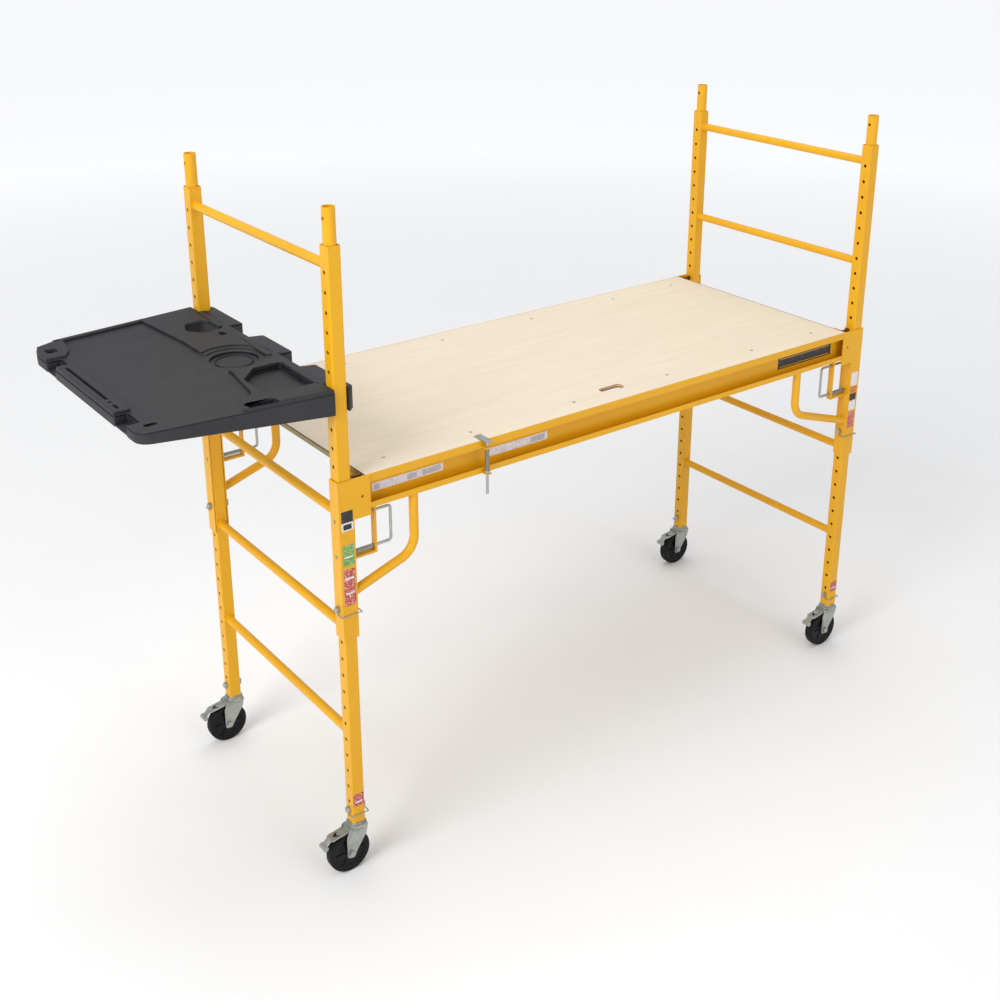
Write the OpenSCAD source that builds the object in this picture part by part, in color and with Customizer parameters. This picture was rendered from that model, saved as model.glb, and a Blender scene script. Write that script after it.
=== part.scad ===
// Baker scaffold: two end frames on locking casters, a height-adjustable
// work platform held by lock pins, and a moulded tool tray on one frame.
// The origin is on the floor, midway between the four posts. +X runs along
// the platform, away from the tool tray, and +Z is up. Millimetres.

/* [End frames] */
// Distance between the post centres along the platform
span_x = 1970; // [1640:10:2370]
// Distance between the post centres across the platform
span_y = 760; // [630:10:920]
// Outer side of the square post tube
post_w = 38.1; // [31:0.1:46]
// Wall of the square post tube
post_t = 2; // [1.5:0.1:3]
// Length of a post
post_len = 1657; // [1560:1:2000]
// Height of the post's foot above the floor
foot_z = 155; // [150:1:190]
// Outer diameter of a ladder rung
rung_d = 25.4; // [20:0.1:31]
// Number of rungs in an end frame
rung_n = 5; // [3:1:5]
// Distance between two rungs
rung_pitch = 330.2; // [275:0.1:340]
// Drop from the post's top to the top rung's centre
rung_drop = 54; // [40:1:70]
// Height of the coupling pin above the post
coupler_h = 93; // [70:1:120]

/* [Adjustment holes] */
// Distance between two adjustment holes
hole_pitch = 50.8; // [42.5:0.1:52]
// Number of adjustment holes in a post
hole_n = 31; // [29:1:31]
// Diameter of an adjustment hole
hole_d = 10.4; // [9:0.1:12.5]
// Drop from the post's top to its first hole
hole_drop = 66; // [55:1:79]

/* [Platform] */
// Hole, counted from the top, that holds the upper lock rod
lock_hole = 13; // [12:1:15]
// Height of the side rail
rail_h = 96; // [80:1:110]
// Depth of the side rail's channel
rail_d = 28; // [28:0.5:34]
// Wall of the side rail
rail_t = 2.5; // [2:0.1:3.5]
// Width of the ledge that carries the panel
ledge_w = 80; // [66:1:96]
// Thickness of the plywood panel
panel_t = 12.7; // [9:0.1:18]
// Distance from the post's centre to the end of the panel's trim
panel_end = 60; // [50:1:72]
// Wall of the corner sleeve
sleeve_t = 3; // [2.5:0.1:4]
// Length of the corner sleeve
sleeve_h = 455; // [430:1:500]
// Outer diameter of a corner brace
brace_d = 25.4; // [20:0.1:25.5]
// Reach of the corner braces at the tray end
brace_reach_l = 212; // [180:1:250]
// Reach of the corner braces at the other end
brace_reach_r = 272; // [230:1:320]

/* [Pins] */
// Diameter of the snap pins
pin_d = 9.5; // [8:0.1:9.9]
// Diameter of the lock rods
rod_d = 8; // [7:0.1:8.8]
// Travel of the lock rods
rod_travel = 45; // [45:0.5:50]
// Diameter of the bail wire
wire_d = 3; // [2.5:0.1:3.6]

/* [Casters] */
// Diameter of a caster wheel
wheel_d = 127; // [106:1:134]
// Width of a caster wheel
wheel_w = 32; // [27:1:38]
// Trail of the wheel behind its swivel
trail = 30; // [24:1:50]
// Direction in which the casters trail at rest
trail_angle = 180; // [135:1:225]
// Diameter of the axle bolt
axle_d = 12; // [10:0.1:14]

/* [Tool tray] */
// Height of the tray's top above the top of the rung that carries it
tray_rise = 15; // [13:1:20]
// Length of the tray beyond the post's outer face
tray_len = 491; // [410:1:590]
// Depth of the tray's skirt at the posts
tray_depth = 68; // [58:1:80]
// Wall of the tray
tray_t = 5; // [4:0.5:6]

/* [Hidden] */
$fn = 48;
e = 1;                                  // overcut that clears a cut's faces
touch = 0.3;                            // gap where curved faces meet
paint = "#E3A92F";
zinc = "#A9ACAB";
black = "#26272B";

post_top = foot_z + post_len;
half_w = post_w / 2;
hole_z = [for (k = [0 : hole_n - 1]) post_top - hole_drop - k * hole_pitch];
rung_z = [for (k = [0 : rung_n - 1]) post_top - rung_drop - k * rung_pitch];
post_r = 4;                             // outer corner radius of the post
plug_c = 0.05;                          // clearance of what plugs into a post
plug_d = post_w - 2 * post_t - 2 * plug_c;
coupler_t = 3;                          // wall of the coupling pin
coupler_seat = 45;                      // length of it inside the post
coupler_step = 0.3;                     // its seat is slimmer than the part above by this
coupler_hole_drop = 28;

// platform heights follow from the lock rods' upper hole
deck_z = hole_z[lock_hole] + 114.4;
sleeve_c = 0.8;                         // clearance between post and sleeve
sleeve_w = half_w + sleeve_c + sleeve_t;  // sleeve's outer half width
sleeve_z = deck_z - sleeve_h;
snap_hole = lock_hole + 5;
low_rod_z = hole_z[lock_hole + 2];
high_rod_z = hole_z[lock_hole];
rail_z = deck_z - rail_h;
ledge_z = deck_z - panel_t;
front = half_w + sleeve_c;              // rail's front face, out from the post's centre
top_lip = 22;
low_lip = 16;
web = rail_d - rail_t;                  // front face to the web's outer face
ear_x = 73;
ear_h = 113;
ear_hole = [49, 54, 8];                 // reach, drop and diameter
rail_len = span_x - 2 * sleeve_w;

brace_y = brace_d / 2 + 0.1;            // brace centre behind the rail's front face
brace_t = 2;
brace_bend = 62;
brace_steps = 6;                        // straight chords in the bend
brace_sides = 24;
brace_slope = 18.3;
brace_land_z = sleeve_z + 129;

collar_x = 31;                          // spring collar on the lower leg
collar_t = 2.5;
spring_d = 13;
spring_wire = 1.6;
spring_solid = 14;                      // length of the spring when fully pressed
bracket_t = 6;
bracket_w = 18;
// near and far face of the rod bracket, clear of the collar at full travel
bracket_x = [collar_x + rod_travel + spring_solid, collar_x + rod_travel + spring_solid + bracket_t];
rod_bow_x = bracket_x[1] + 48;          // where the lock rod's bow stands
rod_bend = 9;
rod_tip = sleeve_w + 1.2;               // how far the tips pass the post's centre
rod_play = 0.4;

pin_head_l = 10;
pin_head_d = 17;
pin_tip = 8;
pin_chamfer = 1.5;
bail_hole_d = wire_d + 0.8;
bail_drop = 15;
bail_gap = 0.8;                         // bail's clearance to the tube it wraps
caster_pin_z = foot_z + 41;

stem_len = 60;
stem_flange = [46, 6];
wheel_r = wheel_d / 2;
wheel_hole = axle_d / 2 + 0.08;
fork_gap = 2.5;
fork_t = 3;
fork_in = wheel_w / 2 + fork_gap;       // inner face of a fork leg
head_d = 58;
head_h = 7;
crown_z = foot_z - stem_flange[1] - head_h - touch;  // top of the fork's crown
crown_t = 5;
pedal_axis = [30, crown_z - crown_t - 4.6];  // reach and height of the pedal's pin
pedal_pin_d = 5;
pedal_knuckle_d = 9;
pedal_w = 34;
pedal_t = 3;
pedal_len = 78;                         // reach of the rolled step
pedal_knee = 58;                        // length of the flat tread before it
pedal_drop = 14;                        // how far the roll hangs below the tread
pedal_roll_d = 16;
pedal_slope = 8;

tray_rung = 1;                          // the tray hangs on this rung, from the top
tray_z = rung_z[tray_rung] + rung_d / 2 + tray_rise;
tray_tip_depth = 36;                    // skirt's depth at the outer end
tray_c = 1;                             // clearance round the posts
tray_hook = 41;                         // reach of the hooks past the post's centre
tray_rim = 5;                           // rim above the tray's floor
tray_proud = 12;                        // how far the tray stands past the posts
tray_taper = 45;                        // loss of half width at the outer end
tray_corner = 40;

latch_x = -549;
latch_y = -(span_y / 2 + front + 12);   // centre line of the deck latch
latch_rod_d = 8;
latch_lift = 12;

corners = [[-1, -1], [-1, 1], [1, -1], [1, 1]];

// Places a corner's piece: its own +x runs to the middle of the scaffold
// along the platform and its own +y runs to the middle across it.
module corner(sx, sy)
  translate([sx * span_x / 2, sy * span_y / 2, 0])
    mirror([sx > 0 ? 1 : 0, 0, 0]) mirror([0, sy > 0 ? 1 : 0, 0]) children();

// Places a piece at a corner, mirrored across the platform but not along it.
module corner_same_x(sx, sy)
  translate([sx * span_x / 2, sy * span_y / 2, 0])
    mirror([0, sy > 0 ? 1 : 0, 0]) children();

module rod_x(d, x0, x1, y = 0, z = 0)
  translate([x0, y, z]) rotate([0, 90, 0]) cylinder(d = d, h = x1 - x0);

module rod_y(d, y0, y1, x = 0, z = 0)
  translate([x, y0, z]) rotate([-90, 0, 0]) cylinder(d = d, h = y1 - y0);

module rod_z(d, z0, z1, x = 0, y = 0)
  translate([x, y, z0]) cylinder(d = d, h = z1 - z0);

module slab(x, y, z)
  translate([x[0], y[0], z[0]]) cube([x[1] - x[0], y[1] - y[0], z[1] - z[0]]);

module rounded_square(w, r) {
  square([w - 2 * r, w], center = true);
  square([w, w - 2 * r], center = true);
  for (x = [-1, 1], y = [-1, 1])
    translate([x, y] * (w / 2 - r)) circle(r = r);
}

// A ball-jointed wire through the given points
module wire(points, d) {
  for (i = [0 : len(points) - 2]) {
    v = points[i + 1] - points[i];
    translate(points[i])
      rotate([0, acos(v[2] / norm(v)), atan2(v[1], v[0])])
        cylinder(d = d, h = norm(v), $fn = 24);
  }
  for (i = [1 : len(points) - 2]) translate(points[i]) sphere(d = d, $fn = 24);
}

// ---- end frames

module post() {
  color(paint) difference() {
    translate([0, 0, foot_z]) linear_extrude(post_len) difference() {
      rounded_square(post_w, post_r);
      square(post_w - 2 * post_t, center = true);
    }
    for (z = hole_z) rod_x(hole_d, -half_w - e, half_w + e, 0, z);
    rod_x(hole_d, -half_w - e, half_w + e, 0, caster_pin_z);
  }
}

module rungs(sx) {
  inner = span_y / 2 - half_w;
  for (z = rung_z) color(paint) difference() {
    rod_y(rung_d, -inner, inner, sx * span_x / 2, z);
    rod_y(rung_d - 2 * post_t, -inner - e, inner + e, sx * span_x / 2, z);
  }
}

module coupling_pins() {
  bore = plug_d - 2 * coupler_t;
  for (c = corners) corner(c[0], c[1]) color(paint) difference() {
    union() {
      rod_z(plug_d, post_top, post_top + coupler_h);
      rod_z(plug_d - 2 * coupler_step, post_top - coupler_seat, post_top);
    }
    rod_z(bore, post_top - coupler_seat - e, post_top + coupler_h + e);
    rod_x(hole_d, -post_w, post_w, 0, post_top + coupler_h - coupler_hole_drop);
  }
}

// ---- snap pins and their wire bails; hw is the half width of the tube they lock

module snap_pin(hw) {
  color(zinc) difference() {
    union() {
      rod_x(pin_head_d, -hw - pin_head_l, -hw);
      rod_x(pin_d, -hw - e, hw + pin_tip - pin_chamfer);
      translate([hw + pin_tip - pin_chamfer, 0, 0]) rotate([0, 90, 0])
        cylinder(d1 = pin_d, d2 = pin_d - 2 * pin_chamfer, h = pin_chamfer);
    }
    rod_z(bail_hole_d, -pin_head_d, pin_head_d, -hw - pin_head_l / 2);
  }
}

// The wire drops through the pin's head, wraps the tube's outer face and
// stands in front of the pin's tip.
module bail(hw) {
  head_x = -hw - pin_head_l / 2;
  tip_x = hw + pin_tip + bail_gap + wire_d / 2;
  side_y = -hw - bail_gap - wire_d / 2;
  color(zinc) wire([
    [head_x, 0, pin_head_d / 2 + 2], [head_x, 0, -bail_drop],
    [head_x, side_y, -bail_drop], [tip_x, side_y, -bail_drop],
    [tip_x, 0, -bail_drop], [tip_x, 0, pin_d / 2]
  ], wire_d);
}

module platform_bail(sx, sy)
  corner_same_x(sx, sy) translate([0, 0, hole_z[snap_hole]]) bail(sleeve_w);

module caster_bail(sx, sy)
  corner_same_x(sx, sy) translate([0, 0, caster_pin_z]) bail(half_w);

module platform_snap_pins()
  for (c = corners)
    corner_same_x(c[0], c[1]) translate([0, 0, hole_z[snap_hole]]) snap_pin(sleeve_w);

module caster_snap_pins()
  for (c = corners)
    corner_same_x(c[0], c[1]) translate([0, 0, caster_pin_z]) snap_pin(half_w);

// ---- casters

module caster_stems()
  for (c = corners) corner(c[0], c[1]) color(zinc) difference() {
    union() {
      rod_z(plug_d, foot_z, foot_z + stem_len);
      rod_z(stem_flange[0], foot_z - stem_flange[1], foot_z);
    }
    rod_x(hole_d, -plug_d, plug_d, 0, caster_pin_z);
  }

// The fork trails along its own +x; at_caster turns it to the resting angle.
module at_caster(sx, sy)
  translate([sx * span_x / 2, sy * span_y / 2, 0]) rotate(trail_angle) children();

module fork_leg()
  rotate([90, 0, 0]) translate([0, 0, -fork_t / 2]) linear_extrude(fork_t) {
    polygon([[-27, crown_z], [33, crown_z], [trail + 15, wheel_r + 2],
             [trail + 8, wheel_r - 15], [trail - 8, wheel_r - 15]]);
    translate([trail, wheel_r]) circle(r = 15);
  }

module fork(sx, sy) {
  side = fork_in + fork_t / 2;
  at_caster(sx, sy) color(zinc) difference() {
    union() {
      rod_z(head_d, crown_z, crown_z + head_h);
      slab([-27, 33], [-side - fork_t / 2, side + fork_t / 2], [crown_z - crown_t, crown_z]);
      for (y = [-side, side]) translate([0, y, 0]) fork_leg();
    }
    rod_y(axle_d + 0.4, -2 * side, 2 * side, trail, wheel_r);
    rod_y(pedal_pin_d + 0.4, -2 * side, 2 * side, pedal_axis[0], pedal_axis[1]);
  }
}

module axle(sx, sy) {
  out = fork_in + fork_t;
  at_caster(sx, sy) color(zinc) {
    rod_y(axle_d, -out - 9, out, trail, wheel_r);
    translate([trail, out + 7, wheel_r]) rotate([90, 0, 0]) cylinder(d = 21, h = 7, $fn = 6);
    translate([trail, -out, wheel_r]) rotate([90, 0, 0]) difference() {
      cylinder(d = 21, h = 7, $fn = 6);
      translate([0, 0, -e]) cylinder(d = axle_d, h = 9);
    }
  }
}

module wheel(sx, sy) {
  hw = wheel_w / 2;
  r = 4;
  rim = wheel_r - 13;
  at_caster(sx, sy) translate([trail, 0, wheel_r]) rotate([90, 0, 0]) color(black) {
    rotate_extrude($fn = 96) difference() {
      union() {
        translate([rim, -hw + r]) square([wheel_r - rim, wheel_w - 2 * r]);
        translate([rim, -hw]) square([wheel_r - rim - r, wheel_w]);
        for (y = [-hw + r, hw - r]) translate([wheel_r - r, y]) circle(r = r);
      }
    }
    rotate_extrude($fn = 96) polygon([
      [wheel_hole, -fork_in + 0.3], [15, -fork_in + 0.3], [15, -hw + 5], [rim, -hw + 2],
      [rim, hw - 2], [15, hw - 5], [15, fork_in - 0.3], [wheel_hole, fork_in - 0.3]
    ]);
  }
}

// The brake pedal: a plate over the wheel with an arrow cut-out, and a tongue that
// dips to a rolled step.
// It rests raised by its slope and dips a few degrees towards the wheel.
module pedal(sx, sy) {
  out = fork_in + fork_t + 2;
  half = pedal_w / 2;
  dip = atan2(pedal_drop, pedal_len - pedal_knee);
  at_caster(sx, sy) translate([pedal_axis[0], 0, pedal_axis[1]]) rotate([0, pedal_slope, 0])
    color(zinc) difference() {
      union() {
        rod_y(pedal_pin_d, -out, out);
        rod_y(pedal_knuckle_d, -half, half);
        slab([0, pedal_knee], [-half, half], [0, pedal_t]);
        translate([pedal_knee - pedal_t, 0, 0]) rotate([0, dip, 0])
          slab([0, pedal_len - pedal_knee + pedal_t], [-half + 6, half - 6], [0, pedal_t]);
        rod_y(pedal_roll_d, -half + 3, half - 3, pedal_len, -pedal_drop);
      }
      translate([pedal_knee * 0.5, 0, -e]) linear_extrude(pedal_t + 2 * e)
        polygon([[0, -9], [8, -9], [20, 0], [8, 9], [0, 9], [8, 0]]);
    }
}

// ---- work platform

module rail_profile()
  polygon([
    [0, deck_z - top_lip], [0, deck_z], [rail_t, deck_z], [rail_t, ledge_z],
    [ledge_w, ledge_z], [ledge_w, ledge_z - rail_t], [rail_d, ledge_z - rail_t],
    [rail_d, rail_z], [0, rail_z], [0, rail_z + low_lip], [rail_t, rail_z + low_lip],
    [rail_t, rail_z + rail_t], [web, rail_z + rail_t], [web, ledge_z - rail_t],
    [rail_t, ledge_z - rail_t], [rail_t, deck_z - top_lip]
  ]);

// Puts a rail's own frame, with y running inwards from its front face, at a side
module at_rail(sy)
  mirror([0, sy > 0 ? 1 : 0, 0]) translate([0, -span_y / 2 - front, 0]) children();

module rail(sy)
  at_rail(sy) color(paint) translate([-rail_len / 2, 0, 0]) rotate([90, 0, 90])
    linear_extrude(rail_len) rail_profile();

module rail_near() {
  rail(-1);
  latch_tabs();
}

module sleeve(sx, sy) {
  corner(sx, sy) color(paint) difference() {
    union() {
      slab([-sleeve_w, sleeve_w], [-sleeve_w, half_w], [sleeve_z, deck_z]);
      slab([0, ear_x], [-sleeve_w, -front], [deck_z - ear_h, deck_z]);
    }
    slab([-front, front], [-front, half_w + e], [sleeve_z - e, deck_z + e]);
    for (k = [lock_hole, lock_hole + 2, snap_hole])
      rod_x(hole_d, -sleeve_w - e, sleeve_w + e, 0, hole_z[k]);
    rod_y(ear_hole[2], -sleeve_w - e, -front + e, ear_hole[0], deck_z - ear_hole[1]);
  }
}

// A bent tube in the xz plane as one closed skin. Each ring lies in the plane
// that halves the bend there; the last one lies flat on the sleeve's face.
function brace_path(reach) =
  let (knee_z = brace_land_z + (reach - sleeve_w) * tan(brace_slope),
       turn = 90 - brace_slope,
       tangent = brace_bend * tan(turn / 2))
  concat(
    [[reach, 0, rail_z]],
    [for (i = [0 : brace_steps]) let (a = turn * i / brace_steps)
      [reach - brace_bend * (1 - cos(a)), 0, knee_z + tangent - brace_bend * sin(a)]],
    [[sleeve_w, 0, brace_land_z]]
  );

function unit(v) = v / norm(v);

function tube_ring(path, i, r) =
  let (last = len(path) - 1,
       into = unit(path[max(i, 1)] - path[max(i, 1) - 1]),
       out = unit(path[min(i + 1, last)] - path[min(i, last - 1)]),
       n = i == last ? [-1, 0, 0] : unit(into + out),
       across = [-n[2], 0, n[0]] / (n * into))
  [for (j = [0 : brace_sides - 1]) let (a = 360 * j / brace_sides)
    path[i] + r * cos(a) * [0, 1, 0] + r * sin(a) * across];

module brace_tube(reach) {
  path = brace_path(reach);
  s = brace_sides;
  rings = len(path);
  inner = s * rings;
  radii = [brace_d / 2, brace_d / 2 - brace_t];
  points = [for (r = radii, i = [0 : rings - 1]) each tube_ring(path, i, r)];
  sides = [for (i = [0 : rings - 2], j = [0 : s - 1]) let (k = (j + 1) % s)
    each [[i * s + j, i * s + k, (i + 1) * s + k, (i + 1) * s + j],
          [inner + i * s + j, inner + (i + 1) * s + j, inner + (i + 1) * s + k, inner + i * s + k]]];
  ends = [for (j = [0 : s - 1]) let (k = (j + 1) % s, b = (rings - 1) * s)
    each [[j, inner + j, inner + k, k], [b + j, b + k, inner + b + k, inner + b + j]]];
  polyhedron(points, concat(sides, ends));
}

module braces(sx)
  for (sy = [-1, 1]) corner(sx, sy) translate([0, -front + brace_y, 0])
    color(paint) brace_tube(sx < 0 ? brace_reach_l : brace_reach_r);

// Bent strap under the rail that guides the lock rod's two legs
module rod_brackets() {
  base_z = low_rod_z - 12;
  for (c = corners) corner(c[0], c[1]) color(paint) difference() {
    union() {
      slab(bracket_x, [-bracket_w / 2, bracket_w / 2], [base_z - bracket_t, rail_z]);
      slab([sleeve_w, bracket_x[1]], [-bracket_w / 2, bracket_w / 2], [base_z - bracket_t, base_z]);
    }
    for (z = [low_rod_z, high_rod_z])
      rod_x(rod_d + 2 * rod_play, bracket_x[0] - e, bracket_x[1] + e, 0, z);
  }
}

// U-shaped lock rod: both legs pass the bracket, the sleeve and the post
module lock_rod(sx, sy) {
  corner(sx, sy) color(zinc) {
    for (z = [low_rod_z, high_rod_z]) rod_x(rod_d, -rod_tip, rod_bow_x - rod_bend, 0, z);
    rod_z(rod_d, low_rod_z + rod_bend, high_rod_z - rod_bend, rod_bow_x);
    translate([rod_bow_x - rod_bend, 0, high_rod_z - rod_bend]) rotate([90, 0, 0])
      rotate_extrude(angle = 90) translate([rod_bend, 0]) circle(d = rod_d);
    translate([rod_bow_x - rod_bend, 0, low_rod_z + rod_bend]) rotate([90, 0, 0])
      rotate(-90) rotate_extrude(angle = 90) translate([rod_bend, 0]) circle(d = rod_d);
    rod_x(spring_d + 1, collar_x - collar_t, collar_x, 0, low_rod_z);
  }
}

module lock_spring(sx, sy)
  corner(sx, sy) color(zinc) difference() {
    rod_x(spring_d, collar_x, bracket_x[0], 0, low_rod_z);
    rod_x(spring_d - 2 * spring_wire, collar_x - e, bracket_x[0] + e, 0, low_rod_z);
  }

// Channels across the platform under the panel, notched for the rails' ledges
module cross_bearers() {
  half = span_y / 2 + front - rail_d;
  ledge = span_y / 2 + front - ledge_w;
  w = bearer_w / 2;
  t = bearer_t;
  low = ledge_z - bearer_h;
  for (x = bearer_at * rail_len / 2) translate([x, 0, 0]) color(paint) difference() {
    slab([-w, w], [-half, half], [low, ledge_z]);
    slab([-w + t, w + e], [-half - e, half + e], [low + t, ledge_z - t]);
    for (y = [[-half - e, -ledge], [ledge, half + e]])
      slab([-w - e, w + e], y, [ledge_z - rail_t, ledge_z + e]);
  }
}

bearer_at = [-0.57, -0.19, 0.19, 0.57];  // as parts of the rail's half length
bearer_w = 30;
bearer_h = 50;
bearer_t = 2.5;

trim_t = 2.5;
trim_x = span_x / 2 - panel_end;        // outer face of the end trim
trim_in = span_y / 2 + front - ledge_w;

module end_trims() {
  lip_y = span_y / 2 + front - rail_t;
  for (s = [0, 1]) mirror([s, 0, 0]) color(paint) {
    slab([-trim_x, -trim_x + trim_t], [-lip_y, lip_y], [ledge_z, deck_z]);
    slab([-trim_x, -trim_x + 30], [-trim_in, trim_in], [ledge_z - trim_t, ledge_z]);
  }
}

slot_size = [84, 34];
slot_at = [-24, -(span_y / 2 + front - 84)];

module plywood_panel() {
  hx = trim_x - trim_t - touch;
  hy = span_y / 2 + front - rail_t - touch;
  r = slot_size[1] / 2 - 3;
  color("#E6D3B1") difference() {
    slab([-hx, hx], [-hy, hy], [ledge_z, deck_z]);
    translate([slot_at[0], slot_at[1], ledge_z - e]) linear_extrude(panel_t + 2 * e) {
      square(slot_size - [2 * r, 0], center = true);
      square(slot_size - [0, 2 * r], center = true);
      for (x = [-1, 1], y = [-1, 1])
        translate([x * (slot_size[0] / 2 - r), y * (slot_size[1] / 2 - r)]) circle(r = r);
    }
    for (p = screw_spots) translate([p[0], p[1], 0]) screw_hole();
  }
}

screw_d = 5;
screw_head = [10, 2.6];
screw_y = span_y / 2 + front - 66;
screw_spots = [for (x = [-0.86, -0.57, -0.19, 0.19, 0.57, 0.86], y = [-1, 1])
  [x * rail_len / 2, y * screw_y]];

module screw_hole() {
  rod_z(screw_d + 0.2, ledge_z - e, deck_z + e);
  rod_z(screw_head[0] + 0.2, deck_z - screw_head[1] - 0.4, deck_z + e);
}

module panel_screws()
  for (p = screw_spots) translate([p[0], p[1], 0]) color(zinc) {
    rod_z(screw_d, ledge_z, deck_z - screw_head[1] - 0.4);
    rod_z(screw_head[0], deck_z - screw_head[1] - 0.4, deck_z - 0.4);
  }

// Bolts that tie the platform's end trims to the corner sleeves, above the ledges
bolt_d = 10;
bolt_head = [16, 8];                    // across corners and length

module corner_bolts() {
  z = ledge_z + bolt_head[0] * cos(30) / 2 + touch;
  y = 4;
  for (c = corners) corner(c[0], c[1]) color("#8A6A3A") {
    rod_x(bolt_d, sleeve_w, span_x / 2 - trim_x, y, z);
    translate([sleeve_w, y, z]) rotate([0, 90, 0]) rotate(30)
      cylinder(d = bolt_head[0], h = bolt_head[1], $fn = 6);
  }
}

// ---- deck latch: a hook that turns over the panel, on a sprung collar

latch_tab = [26, 3];
latch_tab_z = [rail_z + 3, deck_z - 16];
latch_collar_z = rail_z + 3;

module latch_tabs() {
  out = -latch_y - span_y / 2 - front;
  for (z = latch_tab_z) color(paint) difference() {
    slab([latch_x - 9, latch_x + 9], [-span_y / 2 - front - out - 9, -span_y / 2 - front],
         [z - latch_tab[1], z]);
    rod_z(latch_rod_d + 0.8, z - 9, z + e, latch_x, latch_y);
  }
}

module latch_rod() {
  low = latch_collar_z - 62;
  plate_y = [latch_y - 8, -span_y / 2 - front + 34];
  color(zinc) {
    rod_z(latch_rod_d, low, deck_z + touch, latch_x, latch_y);
    slab([latch_x - 11, latch_x + 11], plate_y, [deck_z + touch, deck_z + touch + 3]);
  }
}

module latch_collar() {
  color(zinc) difference() {
    rod_z(16, latch_collar_z, latch_collar_z + 9, latch_x, latch_y);
    rod_z(latch_rod_d + 0.16, latch_collar_z - e, latch_collar_z + 10, latch_x, latch_y);
  }
}

module latch_spring() {
  z1 = latch_tab_z[1] - latch_tab[1];
  color(zinc) difference() {
    rod_z(13, latch_collar_z + 9, z1, latch_x, latch_y);
    rod_z(9.6, latch_collar_z + 8, z1 + e, latch_x, latch_y);
  }
}

// ---- tool tray

// Outline in plan, grown inwards by g; x runs from the hooks to the outer end
module tray_outline(g = 0) {
  hy = span_y / 2 + half_w + tray_proud - g;
  x_in = -span_x / 2 + tray_hook - g;
  x_out = -span_x / 2 - half_w - tray_len + g;
  r = tray_corner - g;
  ty = hy - tray_taper;
  polygon([
    [x_in, -hy + 22], [x_in, hy - 22], [-span_x / 2 + half_w, hy], [-span_x / 2 - half_w, hy],
    [x_out + r + 50, ty], [x_out + 12, ty - 30], [x_out, ty - 75],
    [x_out, -ty + r], [x_out + r, -ty], [-span_x / 2 - half_w, -hy], [-span_x / 2 + half_w, -hy]
  ]);
  translate([x_out + r, -ty + r]) circle(r = r);
}

module tool_tray() {
  px = -span_x / 2;
  floor_z = tray_z - tray_rim;
  low = tray_z - tray_depth;
  notch = half_w + tray_c;
  run = tray_len + half_w;
  saddle = rung_d / 2 + touch;
  color(black) difference() {
    union() {
      difference() {
        translate([0, 0, low]) linear_extrude(tray_depth) tray_outline();
        translate([0, 0, low - e]) linear_extrude(tray_depth - tray_rim - tray_t + e)
          tray_outline(tray_t);
        translate([0, 0, floor_z]) linear_extrude(tray_rim + e) difference() {
          tray_outline(tray_t * 1.6);
          translate([px - half_w - 12, -span_y]) square([200, 2 * span_y]);
        }
        // the skirt gets shallower towards the outer end
        translate([px - half_w - 60, 0, low]) rotate([90, 0, 0])
          translate([0, 0, -span_y]) linear_extrude(2 * span_y)
            polygon([[0, -e], [0, 0], [-run + 60, tray_depth - tray_tip_depth],
                     [-run, tray_depth - tray_tip_depth], [-run, -e]]);
      }
      // saddles that sit on the rung, and walls round the posts
      for (y = [-1, 0, 1]) translate([0, y * 250, 0])
        slab([px - half_w, px + tray_hook - 2], [-22, 22], [low + 20, tray_z - tray_rim]);
      for (s = [-1, 1]) {
        slab([px - notch - tray_t, px + notch + tray_t],
             s > 0 ? [span_y / 2 - notch - tray_t, span_y / 2 - notch]
                   : [-span_y / 2 + notch, -span_y / 2 + notch + tray_t], [low, floor_z]);
        for (x = [-notch - tray_t, notch])
          slab([px + x, px + x + tray_t],
               s > 0 ? [span_y / 2 - notch, span_y / 2 + half_w + tray_proud - 16]
                     : [-span_y / 2 - half_w - tray_proud + 16, -span_y / 2 + notch],
               [low, floor_z]);
      }
      // well of the round hole
      translate([px - 85, 235, floor_z - 34]) cylinder(r = 50, h = 34);
    }
    for (s = [-1, 1]) {
      slab([px - notch, px + notch],
           s > 0 ? [span_y / 2 - notch, span_y] : [-span_y, -span_y / 2 + notch],
           [low - e, tray_z + e]);
      slab([px - 5, px + tray_hook + e], [s * 143 - 62, s * 143 + 62], [low - e, tray_z + e]);
    }
    rod_y(2 * saddle, -span_y / 2 + half_w, span_y / 2 - half_w, px, rung_z[tray_rung]);
    slab([px - saddle, px + saddle], [-span_y / 2 + notch, span_y / 2 - notch],
         [low - e, rung_z[tray_rung]]);
    translate([px - 85, 235, low - e]) cylinder(r = 45, h = tray_depth + 2 * e);
    translate([px - 110, -40, floor_z - 3]) cylinder(r = 88, h = 9);
    translate([px - 452, -300, low - e]) cylinder(r = 9, h = tray_depth + 2 * e);
    translate([px - 478, -120, low - e]) cylinder(r = 7, h = tray_depth + 2 * e);
  }
}

// ---- every node

corner(-1, -1) post();  // post_near_left
corner(-1, 1) post();  // post_far_left
corner(1, -1) post();  // post_near_right
corner(1, 1) post();  // post_far_right
rungs(-1);  // rungs_left
rungs(1);  // rungs_right
coupling_pins();
caster_stems();
caster_snap_pins();
rail_near();
rail(1);  // rail_far
sleeve(-1, -1);  // sleeve_near_left
sleeve(-1, 1);  // sleeve_far_left
sleeve(1, -1);  // sleeve_near_right
sleeve(1, 1);  // sleeve_far_right
braces(-1);  // braces_left
braces(1);  // braces_right
rod_brackets();
cross_bearers();
end_trims();
plywood_panel();
panel_screws();
corner_bolts();
platform_snap_pins();
latch_rod();
latch_collar();
latch_spring();
tool_tray();
lock_rod(-1, -1);  // lock_rod_near_left
lock_rod(-1, 1);  // lock_rod_far_left
lock_rod(1, -1);  // lock_rod_near_right
lock_rod(1, 1);  // lock_rod_far_right
lock_spring(-1, -1);  // lock_spring_near_left
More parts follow.
